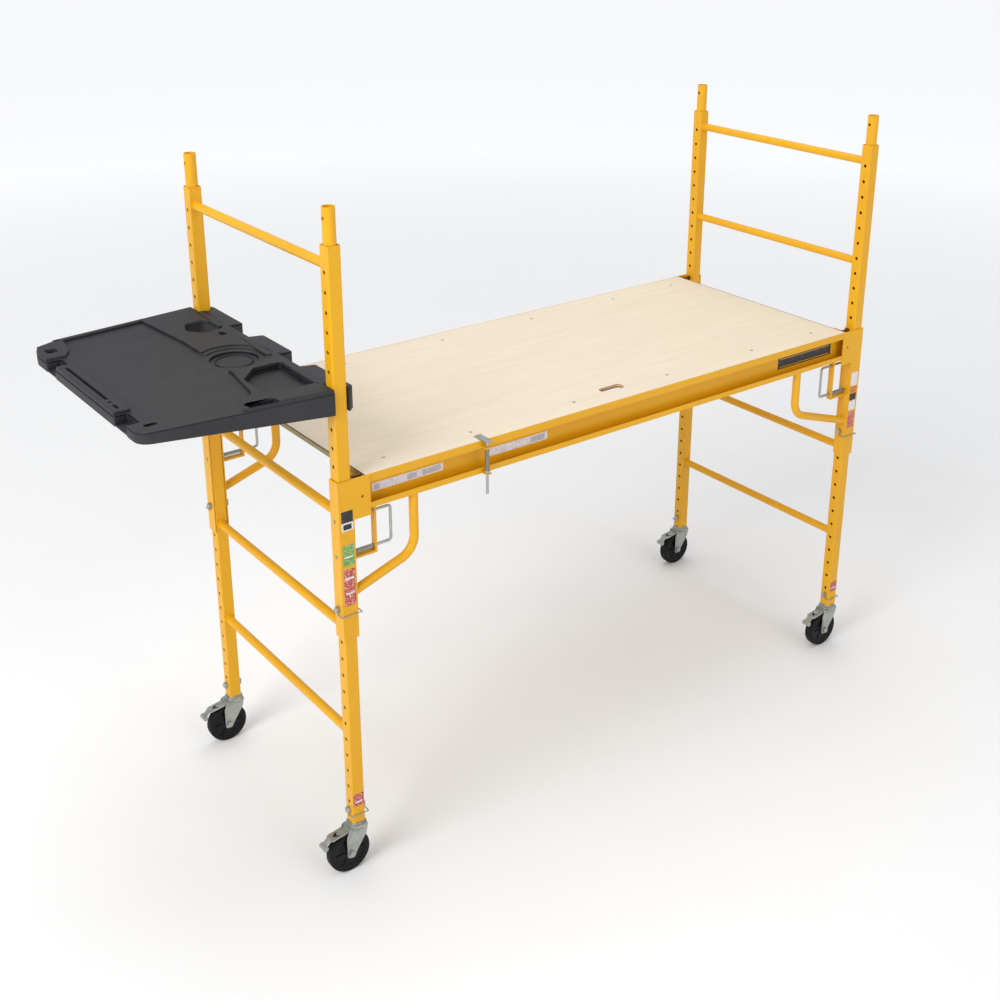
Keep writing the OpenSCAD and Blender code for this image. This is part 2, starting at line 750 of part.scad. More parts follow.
lock_spring(-1, 1);  // lock_spring_far_left
lock_spring(1, -1);  // lock_spring_near_right
lock_spring(1, 1);  // lock_spring_far_right
platform_bail(-1, -1);  // bail_platform_near_left
platform_bail(-1, 1);  // bail_platform_far_left
platform_bail(1, -1);  // bail_platform_near_right
platform_bail(1, 1);  // bail_platform_far_right
caster_bail(-1, -1);  // bail_caster_near_left
caster_bail(-1, 1);  // bail_caster_far_left
caster_bail(1, -1);  // bail_caster_near_right
caster_bail(1, 1);  // bail_caster_far_right
fork(-1, -1);  // fork_near_left
fork(-1, 1);  // fork_far_left
fork(1, -1);  // fork_near_right
fork(1, 1);  // fork_far_right
axle(-1, -1);  // axle_near_left
axle(-1, 1);  // axle_far_left
axle(1, -1);  // axle_near_right
axle(1, 1);  // axle_far_right
wheel(-1, -1);  // wheel_near_left
wheel(-1, 1);  // wheel_far_left
wheel(1, -1);  // wheel_near_right
wheel(1, 1);  // wheel_far_right
pedal(-1, -1);  // pedal_near_left
pedal(-1, 1);  // pedal_far_left
pedal(1, -1);  // pedal_near_right
pedal(1, 1);  // pedal_far_right
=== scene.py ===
# %% [markdown]
# # A baker scaffold, dressed for its portrait
# The scaffold's mechanics come packed as a fixed frame: posts, rails, pins and
# casters already stand where they belong. This notebook gives each of them its
# real finish, and swaps the parts that deserve more detail (the moulded tool
# tray, the bent braces, the springs and the casters) for surfaces worked out
# with numpy. Everything is in metres, with +Z up and the floor at zero.

# %% Load the frame
import math

import bmesh
import bpy
import numpy as np
from mathutils import Euler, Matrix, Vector
from mathutils.geometry import tessellate_polygon


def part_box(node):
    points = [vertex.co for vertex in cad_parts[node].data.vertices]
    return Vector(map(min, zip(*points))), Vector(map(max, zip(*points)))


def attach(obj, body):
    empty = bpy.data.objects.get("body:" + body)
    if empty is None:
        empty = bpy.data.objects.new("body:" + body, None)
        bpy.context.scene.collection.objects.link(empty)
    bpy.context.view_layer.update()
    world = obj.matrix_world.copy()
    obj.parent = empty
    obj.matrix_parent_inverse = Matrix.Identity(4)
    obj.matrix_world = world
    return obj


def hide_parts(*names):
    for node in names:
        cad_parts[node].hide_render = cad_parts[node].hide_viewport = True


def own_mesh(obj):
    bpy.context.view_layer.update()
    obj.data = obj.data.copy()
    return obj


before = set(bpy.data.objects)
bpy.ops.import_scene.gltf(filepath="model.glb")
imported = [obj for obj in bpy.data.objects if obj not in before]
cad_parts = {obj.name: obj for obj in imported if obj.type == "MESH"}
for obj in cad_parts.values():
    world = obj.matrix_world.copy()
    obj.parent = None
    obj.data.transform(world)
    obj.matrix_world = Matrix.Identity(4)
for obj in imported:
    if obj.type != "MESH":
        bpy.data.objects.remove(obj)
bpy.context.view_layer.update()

MM = 0.001

# %% [markdown]
# ## Where things are
# The four posts give the corners. A corner's own axes run inwards: +x to the
# middle along the platform and +y to the middle across it, so one number
# describes a detail at all four corners and a sign flips it into place.

# %% Corners
SIDES = {"near_left": (-1, -1), "far_left": (-1, 1), "near_right": (1, -1), "far_right": (1, 1)}
lo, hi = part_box("post_far_right")
POST = np.array([(lo.x + hi.x) / 2, (lo.y + hi.y) / 2])
HALF_W = (hi.x - lo.x) / 2
POST_TOP = hi.z
DECK_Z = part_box("plywood_panel")[1].z
RUNG_R = (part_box("rungs_left")[1].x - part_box("rungs_left")[0].x) / 2
print("post centre", POST, " deck", round(DECK_Z, 4))


def to_corner(points, side):
    """Corner coordinates to world: x and y are flipped by the corner's signs
    and added to its post, z is kept."""
    sx, sy = SIDES[side]
    p = np.asarray(points, float)
    return np.stack([sx * (POST[0] - p[..., 0]), sy * (POST[1] - p[..., 1]), p[..., 2]], -1)


# %% [markdown]
# ## The camera
# A long-ish lens at eye height above the tray, looking down the platform. The
# small vertical shift keeps the posts' lean as it is while the object stays
# centred.

# %% Camera
EYE = (-2.5392, -3.14328, 2.68128)
TILT_ROLL_PAN = (69.31, 0.04, -36.68)
cam = bpy.data.cameras.new("camera")
cam.lens = 49.38
cam.shift_y = -0.13
camera = bpy.data.objects.new("camera", cam)
camera.location = EYE
camera.rotation_euler = Euler([math.radians(a) for a in TILT_ROLL_PAN])
bpy.context.scene.collection.objects.link(camera)
bpy.context.scene.camera = camera
print("camera at", tuple(round(v, 2) for v in camera.location))

# %% [markdown]
# ## Colours and nodes
# Colours are written as sRGB hex, as a paint chart gives them, and one function
# turns them linear. One more function adds any shader node, with its settings,
# its values and its links.

# %% Colour and node helpers


def rgb(code, alpha=1.0):
    """sRGB hex to linear: below 0.04045 divide by 12.92, above it the 2.4 power law."""
    c = np.array([int(code[i:i + 2], 16) for i in (1, 3, 5)]) / 255
    linear = np.where(c <= 0.04045, c / 12.92, ((c + 0.055) / 1.055) ** 2.4)
    return (*linear.tolist(), alpha)


def add(mat, kind, inputs=None, **settings):
    """One node: its settings, then each input as a value or a (node, output) link."""
    node = mat.node_tree.nodes.new(kind)
    for name, value in settings.items():
        setattr(node, name, value)
    for name, value in (inputs or {}).items():
        if isinstance(value, tuple) and isinstance(value[0], bpy.types.Node):
            mat.node_tree.links.new(value[0].outputs[value[1]], node.inputs[name])
        else:
            node.inputs[name].default_value = value
    return node


def material(name):
    """An empty node material with its output node."""
    mat = bpy.data.materials.new(name)
    mat.use_nodes = True
    mat.node_tree.nodes.clear()
    return mat, add(mat, "ShaderNodeOutputMaterial")


def finish_material(mat, out, shader):
    """Links the last shader to the output."""
    mat.node_tree.links.new(shader.outputs["BSDF"], out.inputs["Surface"])
    print("material", mat.name, len(mat.node_tree.nodes), "nodes")
    return mat


# %% [markdown]
# ## Yellow powder coat
# The steel is sprayed with a polyester powder and baked. That leaves a smooth,
# fairly glossy skin with a faint orange-peel ripple a few millimetres across,
# and tiny darker scuffs where pins and frames have rubbed.

# %% Powder coat
powder, out = material("powder_coat_yellow")
place = add(powder, "ShaderNodeTexCoord")
cloud = add(powder, "ShaderNodeTexNoise", {"Vector": (place, "Object"), "Scale": 1 / 0.35, "Detail": 2.0})
shade = add(powder, "ShaderNodeMix", {0: (cloud, "Fac"), 6: rgb("#DB9B08"), 7: rgb("#E8AF14")},
            data_type="RGBA")
scuff = add(powder, "ShaderNodeTexNoise", {"Vector": (place, "Object"), "Scale": 1 / 0.022, "Detail": 6.0,
                                           "Roughness": 0.72})
worn = add(powder, "ShaderNodeMapRange", {"Value": (scuff, "Fac"), "From Min": 0.66, "From Max": 0.76,
                                          "To Max": 0.55})
skin = add(powder, "ShaderNodeMix", {0: (worn, "Result"), 6: (shade, 2), 7: rgb("#A4741A")}, data_type="RGBA")
gloss = add(powder, "ShaderNodeMapRange", {"Value": (cloud, "Fac"), "To Min": 0.34, "To Max": 0.44})
peel = add(powder, "ShaderNodeTexNoise", {"Vector": (place, "Object"), "Scale": 1 / 0.003, "Detail": 1.0})
ripple = add(powder, "ShaderNodeBump", {"Height": (peel, "Fac"), "Strength": 0.12, "Distance": 0.1 * MM})
shader = add(powder, "ShaderNodeBsdfPrincipled", {"Base Color": (skin, 2), "Roughness": (gloss, "Result"),
                                                  "Normal": (ripple, "Normal"),
                                                  "Specular IOR Level": 0.32, "Coat Weight": 0.08,
                                                  "Coat Roughness": 0.2})
powder = finish_material(powder, out, shader)

# %% [markdown]
# ## Zinc plate
# Pins, rods, forks and pedals are zinc plated: a soft grey metal with a cool
# cast, cloudy patches from the bath, and fine drawing marks that blur what it
# reflects.

# %% Zinc
zinc, out = material("zinc_plate")
place = add(zinc, "ShaderNodeTexCoord")
patch = add(zinc, "ShaderNodeTexNoise", {"Vector": (place, "Object"), "Scale": 1 / 0.018, "Detail": 4.0})
tone = add(zinc, "ShaderNodeMix", {0: (patch, "Fac"), 6: rgb("#8B918B"), 7: rgb("#C3C7C0")}, data_type="RGBA")
dull = add(zinc, "ShaderNodeMapRange", {"Value": (patch, "Fac"), "To Min": 0.28, "To Max": 0.5})
marks = add(zinc, "ShaderNodeTexNoise", {"Vector": (place, "Object"), "Scale": 1 / 0.0012, "Detail": 3.0})
dents = add(zinc, "ShaderNodeBump", {"Height": (marks, "Fac"), "Strength": 0.15, "Distance": 0.05 * MM})
shader = add(zinc, "ShaderNodeBsdfPrincipled", {"Base Color": (tone, 2), "Metallic": 0.85,
                                                "Roughness": (dull, "Result"), "Normal": (dents, "Normal")})
zinc = finish_material(zinc, out, shader)

# %% [markdown]
# ## Birch plywood
# The platform's face ply is rotary-cut birch: pale, warm, with long soft grain
# along the platform and darker streaks a centimetre or two apart. The cut edges
# show the plies as thin light and dark lines, one every couple of millimetres.

# %% Plywood
ply, out = material("birch_plywood")
place = add(ply, "ShaderNodeTexCoord")
along = add(ply, "ShaderNodeMapping", {"Vector": (place, "Object"), "Scale": (0.9, 14.0, 1.0)})
grain = add(ply, "ShaderNodeTexNoise", {"Vector": (along, "Vector"), "Scale": 3.2, "Detail": 8.0,
                                        "Roughness": 0.62, "Distortion": 0.5})
fine_map = add(ply, "ShaderNodeMapping", {"Vector": (place, "Object"), "Scale": (12.0, 420.0, 1.0)})
fibre = add(ply, "ShaderNodeTexNoise", {"Vector": (fine_map, "Vector"), "Scale": 1.0, "Detail": 3.0})
cloud = add(ply, "ShaderNodeTexNoise", {"Vector": (place, "Object"), "Scale": 1 / 0.28, "Detail": 3.0})
figure = add(ply, "ShaderNodeMapRange", {"Value": (grain, "Fac"), "From Min": 0.3, "From Max": 0.72})
face = add(ply, "ShaderNodeMix", {0: (figure, "Result"), 6: rgb("#E2D3B9"), 7: rgb("#EBDDC6")},
           data_type="RGBA")
specks = add(ply, "ShaderNodeMapRange", {"Value": (fibre, "Fac"), "From Min": 0.3, "From Max": 0.75,
                                         "To Min": 0.12, "To Max": 0.0})
face = add(ply, "ShaderNodeMix", {0: (specks, "Result"), 6: (face, 2), 7: rgb("#BDA888")}, data_type="RGBA")
warm = add(ply, "ShaderNodeMapRange", {"Value": (cloud, "Fac"), "From Min": 0.35, "From Max": 0.7,
                                       "To Max": 0.3})
face = add(ply, "ShaderNodeMix", {0: (warm, "Result"), 6: (face, 2), 7: rgb("#DFD0BD")}, data_type="RGBA")
PLY_BAND = 8 * math.pi * MM
layer = add(ply, "ShaderNodeTexWave", {"Vector": (place, "Object"), "Scale": 1 / PLY_BAND,
                                       "Distortion": 0.6, "Detail": 1.0},
            wave_type="BANDS", bands_direction="Z")
edge = add(ply, "ShaderNodeMix", {0: (layer, "Fac"), 6: rgb("#8E6E48"), 7: rgb("#D8BF98")}, data_type="RGBA")
shape = add(ply, "ShaderNodeNewGeometry")
parts = add(ply, "ShaderNodeSeparateXYZ", {"Vector": (shape, "True Normal")})
upright = add(ply, "ShaderNodeMath", {0: (parts, "Z")}, operation="ABSOLUTE")
wood = add(ply, "ShaderNodeMix", {0: (upright, "Value"), 6: (edge, 2), 7: (face, 2)}, data_type="RGBA")
pores = add(ply, "ShaderNodeBump", {"Height": (fibre, "Fac"), "Strength": 0.2, "Distance": 0.15 * MM})
shader = add(ply, "ShaderNodeBsdfPrincipled", {"Base Color": (wood, 2), "Roughness": 0.62,
                                               "Normal": (pores, "Normal")})
ply = finish_material(ply, out, shader)

# %% [markdown]
# ## Moulded black polyethylene
# The tray is blow-moulded in black plastic: charcoal rather than black, with a
# fine leathery grain from the mould and a slightly waxy sheen that greys where
# tools have slid over it.

# %% Tray plastic
plastic, out = material("moulded_polyethylene")
place = add(plastic, "ShaderNodeTexCoord")
slide_map = add(plastic, "ShaderNodeMapping", {"Vector": (place, "Object"), "Scale": (1.0, 3.0, 1.0)})
rubbed = add(plastic, "ShaderNodeTexNoise", {"Vector": (slide_map, "Vector"), "Scale": 1 / 0.09,
                                             "Detail": 5.0})
grey = add(plastic, "ShaderNodeMapRange", {"Value": (rubbed, "Fac"), "From Min": 0.4, "From Max": 0.75,
                                           "To Max": 0.6})
tone = add(plastic, "ShaderNodeMix", {0: (grey, "Result"), 6: rgb("#1B1C1F"), 7: rgb("#2C2D31")},
           data_type="RGBA")
leather = add(plastic, "ShaderNodeTexVoronoi", {"Vector": (place, "Object"), "Scale": 1 / 0.0016})
mould = add(plastic, "ShaderNodeBump", {"Height": (leather, "Distance"), "Strength": 0.35,
                                        "Distance": 0.25 * MM})
satin = add(plastic, "ShaderNodeMapRange", {"Value": (rubbed, "Fac"), "To Min": 0.5, "To Max": 0.64})
shader = add(plastic, "ShaderNodeBsdfPrincipled", {"Base Color": (tone, 2), "Roughness": (satin, "Result"),
                                                   "Normal": (mould, "Normal")})
plastic = finish_material(plastic, out, shader)

# %% [markdown]
# ## Wheel rubber, wheel core and bolts painted brown for shade
# The tyre is black rubber with little shine. The core is a glass-filled nylon,
# a shade blacker and a little smoother. The bolts at the deck's ends are given
# browns that stand for yellow paint in shadow: painted shade, with a metal finish.

# %% Wheel and bolt materials


def speckled(name, dark, light, grain_mm, rough, metal=0.0, shine=0.5):
    """A plain solid whose two close colours mix by fine noise, with a matching bump."""
    mat, out = material(name)
    place = add(mat, "ShaderNodeTexCoord")
    noise = add(mat, "ShaderNodeTexNoise", {"Vector": (place, "Object"), "Scale": 1 / (grain_mm * MM),
                                            "Detail": 4.0})
    tone = add(mat, "ShaderNodeMix", {0: (noise, "Fac"), 6: rgb(dark), 7: rgb(light)}, data_type="RGBA")
    bump = add(mat, "ShaderNodeBump", {"Height": (noise, "Fac"), "Strength": 0.15, "Distance": 0.1 * MM})
    shader = add(mat, "ShaderNodeBsdfPrincipled", {"Base Color": (tone, 2), "Metallic": metal,
                                                   "Roughness": rough, "Specular IOR Level": shine,
                                                   "Normal": (bump, "Normal")})
    return finish_material(mat, out, shader)


rubber = speckled("tyre_rubber", "#0C0C0D", "#1A1A1B", 9, 0.6, shine=0.2)
core = speckled("wheel_nylon", "#0A0A0B", "#131314", 14, 0.45, shine=0.22)
# painted shade: these two browns on the corner bolts stand for yellow paint in shadow
bolt_shade_brown = speckled("bolt_brown_painted_shade", "#4A3016", "#8A6434", 5, 0.45, 0.7)

# %% [markdown]
# ## Edge band of the deck
# The strip along each end of the deck is a dull khaki, with a dark line along
# its top where it meets the panel's face. The line is drawn by height:
# it starts two millimetres below the deck's surface.

# %% Edge band
band, out = material("khaki_edge_band")
place = add(band, "ShaderNodeTexCoord")
grain_map = add(band, "ShaderNodeMapping", {"Vector": (place, "Object"), "Scale": (1.0, 8.0, 160.0)})
streak = add(band, "ShaderNodeTexNoise", {"Vector": (grain_map, "Vector"), "Scale": 2.0, "Detail": 4.0})
khaki = add(band, "ShaderNodeMix", {0: (streak, "Fac"), 6: rgb("#857A48"), 7: rgb("#B5AA7E")},
            data_type="RGBA")
height = add(band, "ShaderNodeSeparateXYZ", {"Vector": (place, "Object")})
LINE_FROM, LINE_TO = DECK_Z - 2.6 * MM, DECK_Z - 2.0 * MM
line = add(band, "ShaderNodeMapRange", {"Value": (height, "Z"), "From Min": LINE_FROM,
                                        "From Max": LINE_TO, "To Max": 0.85})
tone = add(band, "ShaderNodeMix", {0: (line, "Result"), 6: (khaki, 2), 7: rgb("#3E3417")}, data_type="RGBA")
nicks = add(band, "ShaderNodeBump", {"Height": (streak, "Fac"), "Strength": 0.2, "Distance": 0.2 * MM})
shader = add(band, "ShaderNodeBsdfPrincipled", {"Base Color": (tone, 2), "Roughness": 0.6,
                                                "Normal": (nicks, "Normal")})
band = finish_material(band, out, shader)

# %% [markdown]
# ## Dressing the frame's own parts
# Most pieces are right as they come and only need their finish. Each is found by
# the start of its name, and whatever is not listed is zinc-plated steel.

# %% Dress the frame's own parts
FINISHES = {"post_": powder, "rungs_": powder, "coupling_pins": powder, "rail_": powder, "sleeve_": powder,
            "braces_": powder, "rod_brackets": powder, "cross_bearers": powder, "end_trims": band,
            "plywood_panel": ply, "corner_bolts": bolt_shade_brown, "tool_tray": plastic, "wheel_": core}
for name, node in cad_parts.items():
    kind = next((k for k in FINISHES if name.startswith(k)), None)
    node.data.materials.clear()
    node.data.materials.append(FINISHES.get(kind, zinc))
print("dressed", len(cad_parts), "nodes")

# %% [markdown]
# ## Making a piece
# Every new piece is a grid or a plate of points. One helper turns the arrays
# into a mesh, smooths it except over sharp edges, gives it its material, and
# ties it to the body it moves with.

# %% The piece helper
SHARP = math.radians(38)


def mesh_piece(name, shells, body, mat, replaced=()):
    """Joins (points, faces) shells into one object that rides on a body."""
    starts = np.cumsum([0] + [len(p) for p, _ in shells[:-1]])
    points = np.concatenate([p for p, _ in shells])
    faces = [[int(i) + int(s) for i in f] for (_, fs), s in zip(shells, starts) for f in fs]
    mesh = bpy.data.meshes.new(name)
    mesh.from_pydata(points.tolist(), [], faces)
    mesh.validate()
    mesh.shade_smooth()
    mesh.set_sharp_from_angle(angle=SHARP)
    mesh.materials.append(mat)
    obj = bpy.data.objects.new(name, mesh)
    bpy.context.scene.collection.objects.link(obj)
    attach(obj, body)
    if replaced:
        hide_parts(*replaced)
    return obj


def grid_faces(rows, cols, wrap_rows=False, wrap_cols=True):
    """Quads between neighbouring points of a rows x cols grid, as index arrays."""
    r = np.arange(rows if wrap_rows else rows - 1)[:, None]
    c = np.arange(cols if wrap_cols else cols - 1)[None, :]
    a, b = r * cols + c, r * cols + (c + 1) % cols
    d, e = (r + 1) % rows * cols + c, (r + 1) % rows * cols + (c + 1) % cols
    return np.stack([a, b, e, d], -1).reshape(-1, 4).tolist()


# %% [markdown]
# ## Tubes, wires and coils
# A tube is a circle carried along a path. Every path here is flat or winds
# round one axis, so that axis gives a steady sideways direction: the circle is
# drawn in the plane of the axis and its cross product with the path's direction.

# %% Sweep and lathe


def sweep(path, radius, axis, sides=16):
    """Circle of given radius carried along the path: centre + r cos(a) axis' +
    r sin(a) side, where side = direction x axis and axis' = side x direction.
    The ends are closed with a fan."""
    path = np.asarray(path, float)
    way = np.gradient(path, axis=0)
    way /= np.linalg.norm(way, axis=1, keepdims=True)
    side = np.cross(way, axis)
    side /= np.linalg.norm(side, axis=1, keepdims=True)
    up = np.cross(side, way)
    a = np.linspace(0, 2 * np.pi, sides, endpoint=False)[:, None]
    r = np.broadcast_to(radius, len(path))[:, None, None]
    skin = path[:, None] + r * (np.cos(a) * up[:, None] + np.sin(a) * side[:, None])
    n = len(path)
    faces = grid_faces(n, sides)
    faces += [list(range(sides))[::-1], [(n - 1) * sides + i for i in range(sides)]]
    return orient(skin.reshape(-1, 3), faces)


def orient(points, faces):
    """Turns every face over if the shell's signed volume is negative."""
    first = np.array([[f[0], f[1], f[2]] for f in faces])
    last = np.array([[f[0], f[2], f[-1]] for f in faces])
    tri = points[np.concatenate([first, last])]
    volume = np.einsum("ij,ij->i", tri[:, 0], np.cross(tri[:, 1], tri[:, 2])).sum()
    return (points, faces) if volume > 0 else (points, [f[::-1] for f in faces])


def lathe(profile, sides=48):
    """Turns a closed (radius, height) profile round the z axis: (r cos a, r sin a, h)."""
    profile = np.asarray(profile, float)
    a = np.linspace(0, 2 * np.pi, sides, endpoint=False)
    r, h = profile[:, :1], profile[:, 1:]
    skin = np.stack([r * np.cos(a), r * np.sin(a), np.broadcast_to(h, (len(profile), sides))], -1)
    return orient(skin.reshape(-1, 3), grid_faces(len(profile), sides, wrap_rows=True))


# %% [markdown]
# ## Plates with softened edges
# Sheet steel, labels and the tray's levels are plates: a flat outline with
# holes, given a thickness and a small rounded edge. The edge is a quarter
# circle carried round each outline by moving the outline inwards. Flat faces
# are then filled between the outlines.

# %% Outlines


def rounded(corners, radius, steps=6):
    """A polygon with each corner replaced by an arc: the arc's centre is where
    the two edges, moved inwards by the radius, cross."""
    p = np.asarray(corners, float)
    r = np.broadcast_to(np.asarray(radius, float), len(p))
    back, ahead = np.roll(p, 1, 0) - p, np.roll(p, -1, 0) - p
    lb, la = np.linalg.norm(back, axis=1), np.linalg.norm(ahead, axis=1)
    back, ahead = back / lb[:, None], ahead / la[:, None]
    half = np.arccos(np.clip((back * ahead).sum(1), -1, 1)) / 2
    cut = np.minimum(r / np.tan(half), 0.49 * np.minimum(lb, la))
    t = np.linspace(0, 1, steps)[None, :, None]
    start, end = p + back * cut[:, None], p + ahead * cut[:, None]
    # a quadratic arc through both ends, drawn towards the corner
    arc = (1 - t) ** 2 * start[:, None] + 2 * t * (1 - t) * p[:, None] + t ** 2 * end[:, None]
    return arc.reshape(-1, 2)


def circle(x, y, r, n=48, turn=0.0):
    """n points round (x, y)."""
    a = np.linspace(0, 2 * np.pi, n, endpoint=False) + turn
    return np.stack([x + r * np.cos(a), y + r * np.sin(a)], -1)


def box2(x0, x1, y0, y1, r=0.0):
    """A rectangle, with rounded corners if r is given."""
    corners = [(x0, y0), (x1, y0), (x1, y1), (x0, y1)]
    return rounded(corners, r) if r else np.array(corners, float)


def wound(outline, positive):
    """The outline, run counter-clockwise for a rim and clockwise for a hole."""
    x, y = outline.T
    area = (x * np.roll(y, -1) - np.roll(x, -1) * y).sum()
    return outline if (area > 0) == positive else outline[::-1]


def inset(outline, d):
    """Moves every point by d to the left of its path, along the corner's mitre."""
    keep = np.linalg.norm(outline - np.roll(outline, 1, 0), axis=1) > 1e-7
    outline = outline[keep]
    way = np.roll(outline, -1, 0) - outline
    way /= np.linalg.norm(way, axis=1, keepdims=True)
    n = np.stack([-way[:, 1], way[:, 0]], -1)
    m = np.roll(n, 1, 0)
    mitre = (n + m) / np.maximum(1 + (n * m).sum(1), 0.35)[:, None]
    return outline + d * mitre


def plate(outlines, z0, z1, edge, steps=3):
    """A plate from z0 to z1. Rows of each outline run down a rounded edge, the
    wall, and the other rounded edge; the two flat faces are filled last."""
    t = np.linspace(0, np.pi / 2, steps)
    d = np.concatenate([[edge * 1.8], edge * (1 - np.sin(t)), edge * (1 - np.cos(t)), [edge * 1.8]])
    z = np.concatenate([[z1], z1 - edge * (1 - np.cos(t)), z0 + edge * (1 - np.sin(t)), [z0]])
    shells, count, tops, bottoms, faces = [], 0, [], [], []
    for k, outline in enumerate(outlines):
        rim = wound(np.asarray(outline, float), k == 0)
        insets = [inset(rim, di) for di in d]
        rows = [np.column_stack([line, np.full(len(line), zi)]) for line, zi in zip(insets, z)]
        n = len(rows[0])
        skin = np.concatenate(rows)
        faces += (np.array(grid_faces(len(rows), n))[:, ::-1] + count).tolist()
        tops.append((rows[0], count))
        bottoms.append((rows[-1], count + (len(rows) - 1) * n))
        shells.append(skin)
        count += len(skin)
    for rings, flip in ((tops, False), (bottoms, True)):
        index = np.concatenate([np.arange(s, s + len(r)) for r, s in rings])
        tris = tessellate_polygon([[(x, y, 0.0) for x, y, _ in r] for r, _ in rings])
        faces += [[int(index[i]) for i in (t[::-1] if flip else t)] for t in tris]
    return fix_faces(np.concatenate(shells), faces)


def fix_faces(points, faces):
    """Recalculates the faces of a closed shell so that all of them point outwards."""
    mesh = bpy.data.meshes.new("scratch")
    mesh.from_pydata(points.tolist(), [], faces)
    bm = bmesh.new()
    bm.from_mesh(mesh)
    bmesh.ops.remove_doubles(bm, verts=bm.verts, dist=1e-7)
    bmesh.ops.recalc_face_normals(bm, faces=bm.faces)
    bm.verts.ensure_lookup_table()
    p = np.array([v.co for v in bm.verts])
    f = [[v.index for v in face.verts] for face in bm.faces]
    bm.free()
    bpy.data.meshes.remove(mesh)
    return p, f


def moved(shell, matrix=None, offset=(0, 0, 0)):
    """A shell's points turned by a 3x3 matrix and moved."""
    points, faces = shell
    points = points if matrix is None else points @ np.asarray(matrix, float).T
    return points + np.asarray(offset, float), faces


# %% [markdown]
# ## The tool tray
# The tray hooks over a rung and lies round both posts. Seen from above it has
# one outline: two ears and a middle block that reach past the rung, notches for
# the posts, tapering sides, one clipped and one round outer corner. On it lie
# levels: the floor, with its openings, raised bars on two sides, a stepped
# round dish, a hex opening, and small holes for hand tools.

# %% Tray outline
lo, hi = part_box("tool_tray")
TRAY_TOP, TRAY_OUT, TRAY_IN, TRAY_HALF = hi.z, lo.x, hi.x, hi.y
PX = -POST[0]
NOTCH = HALF_W + 1 * MM
POST_Y = POST[1]
TAPER = 45 * MM
GAP = (81 * MM, 205 * MM)
FLOOR = TRAY_TOP - 8 * MM
tip_y = TRAY_HALF - TAPER
corners = [
    (TRAY_IN, -GAP[1]), (PX - 5 * MM, -GAP[1]), (PX - 5 * MM, -GAP[0]), (TRAY_IN, -GAP[0]),
    (TRAY_IN, GAP[0]), (PX - 5 * MM, GAP[0]), (PX - 5 * MM, GAP[1]), (TRAY_IN, GAP[1]),
    (TRAY_IN, TRAY_HALF - 22 * MM), (PX + NOTCH, TRAY_HALF - 2 * MM),
    (PX + NOTCH, POST_Y - NOTCH), (PX - NOTCH, POST_Y - NOTCH), (PX - NOTCH, TRAY_HALF),
    (TRAY_OUT + 90 * MM, tip_y), (TRAY_OUT + 12 * MM, tip_y - 30 * MM), (TRAY_OUT, tip_y - 75 * MM),
    (TRAY_OUT, 0.226), (-1.455, 0.226), (-1.455, 0.162), (TRAY_OUT, 0.162),
    (TRAY_OUT, -0.226), (-1.460, -0.226), (-1.460, -0.298), (TRAY_OUT, -0.298),
    (TRAY_OUT, -tip_y), (PX - NOTCH, -TRAY_HALF), (PX - NOTCH, -POST_Y + NOTCH),
    (PX + NOTCH, -POST_Y + NOTCH), (PX + NOTCH, -TRAY_HALF + 2 * MM), (TRAY_IN, -TRAY_HALF + 22 * MM),
]
radii = np.array([5, 3, 3, 5, 5, 3, 3, 5, 12, 3, 1.5, 1.5, 4, 60, 20, 20, 4, 4, 4, 4, 4, 4, 4, 4,
                  42, 4, 1.5, 1.5, 3, 12]) * MM
rim = rounded(corners, radii)
print("tray", np.round(rim.max(0) - rim.min(0), 3), "m in plan")

# %% [markdown]
# ### The skirt
# The skirt hangs from the floor's edge: deep by the posts, half as deep at the
# outer end, and nearly nothing where the rung and the post pass. Its section is
# a thin closed loop carried round the outline.

# %% Tray skirt
SKIRT, SKIRT_TIP, WALL = 68 * MM, 36 * MM, 4.5 * MM


def skirt_low(p):
    """How far down the skirt reaches at a point: it rises in a straight line
    from 60 mm outside the post to the outer end, and stops above the rung."""
    run = np.clip((PX - HALF_W - 60 * MM - p[:, 0]) / (PX - HALF_W - 60 * MM - TRAY_OUT), 0, 1)
    low = TRAY_TOP - SKIRT + run * (SKIRT - SKIRT_TIP)
    over_rung = (np.abs(p[:, 0] - PX) < 21 * MM) & (np.abs(p[:, 1]) < POST_Y - HALF_W)
    return np.where(over_rung, TRAY_TOP - 14 * MM, low)


ring = wound(rim, True)
low = skirt_low(inset(ring, 0))
section = [(1.5 * MM, FLOOR + 0 * low), (0.4 * MM, FLOOR - 0.6 * MM + 0 * low), (0, FLOOR - 2 * MM + 0 * low),
           (0, low + 1.5 * MM), (1.2 * MM, low), (WALL - 1 * MM, low), (WALL, low + 1.5 * MM),
           (WALL, FLOOR - 5 * MM + 0 * low)]
rows = [np.column_stack([inset(ring, d), z]) for d, z in section]
skirt = fix_faces(np.concatenate(rows), grid_faces(len(rows), len(rows[0]), wrap_rows=True))
print("skirt", len(skirt[0]), "points")

# %% [markdown]
# ### Floor, openings and raised levels
# The stepped dish is cut right through the floor and filled again by rings,
# each lower than the last, so its edges are true edges. The bars along the far
# and outer sides, the corner block and the blocks over the rung stand above it.

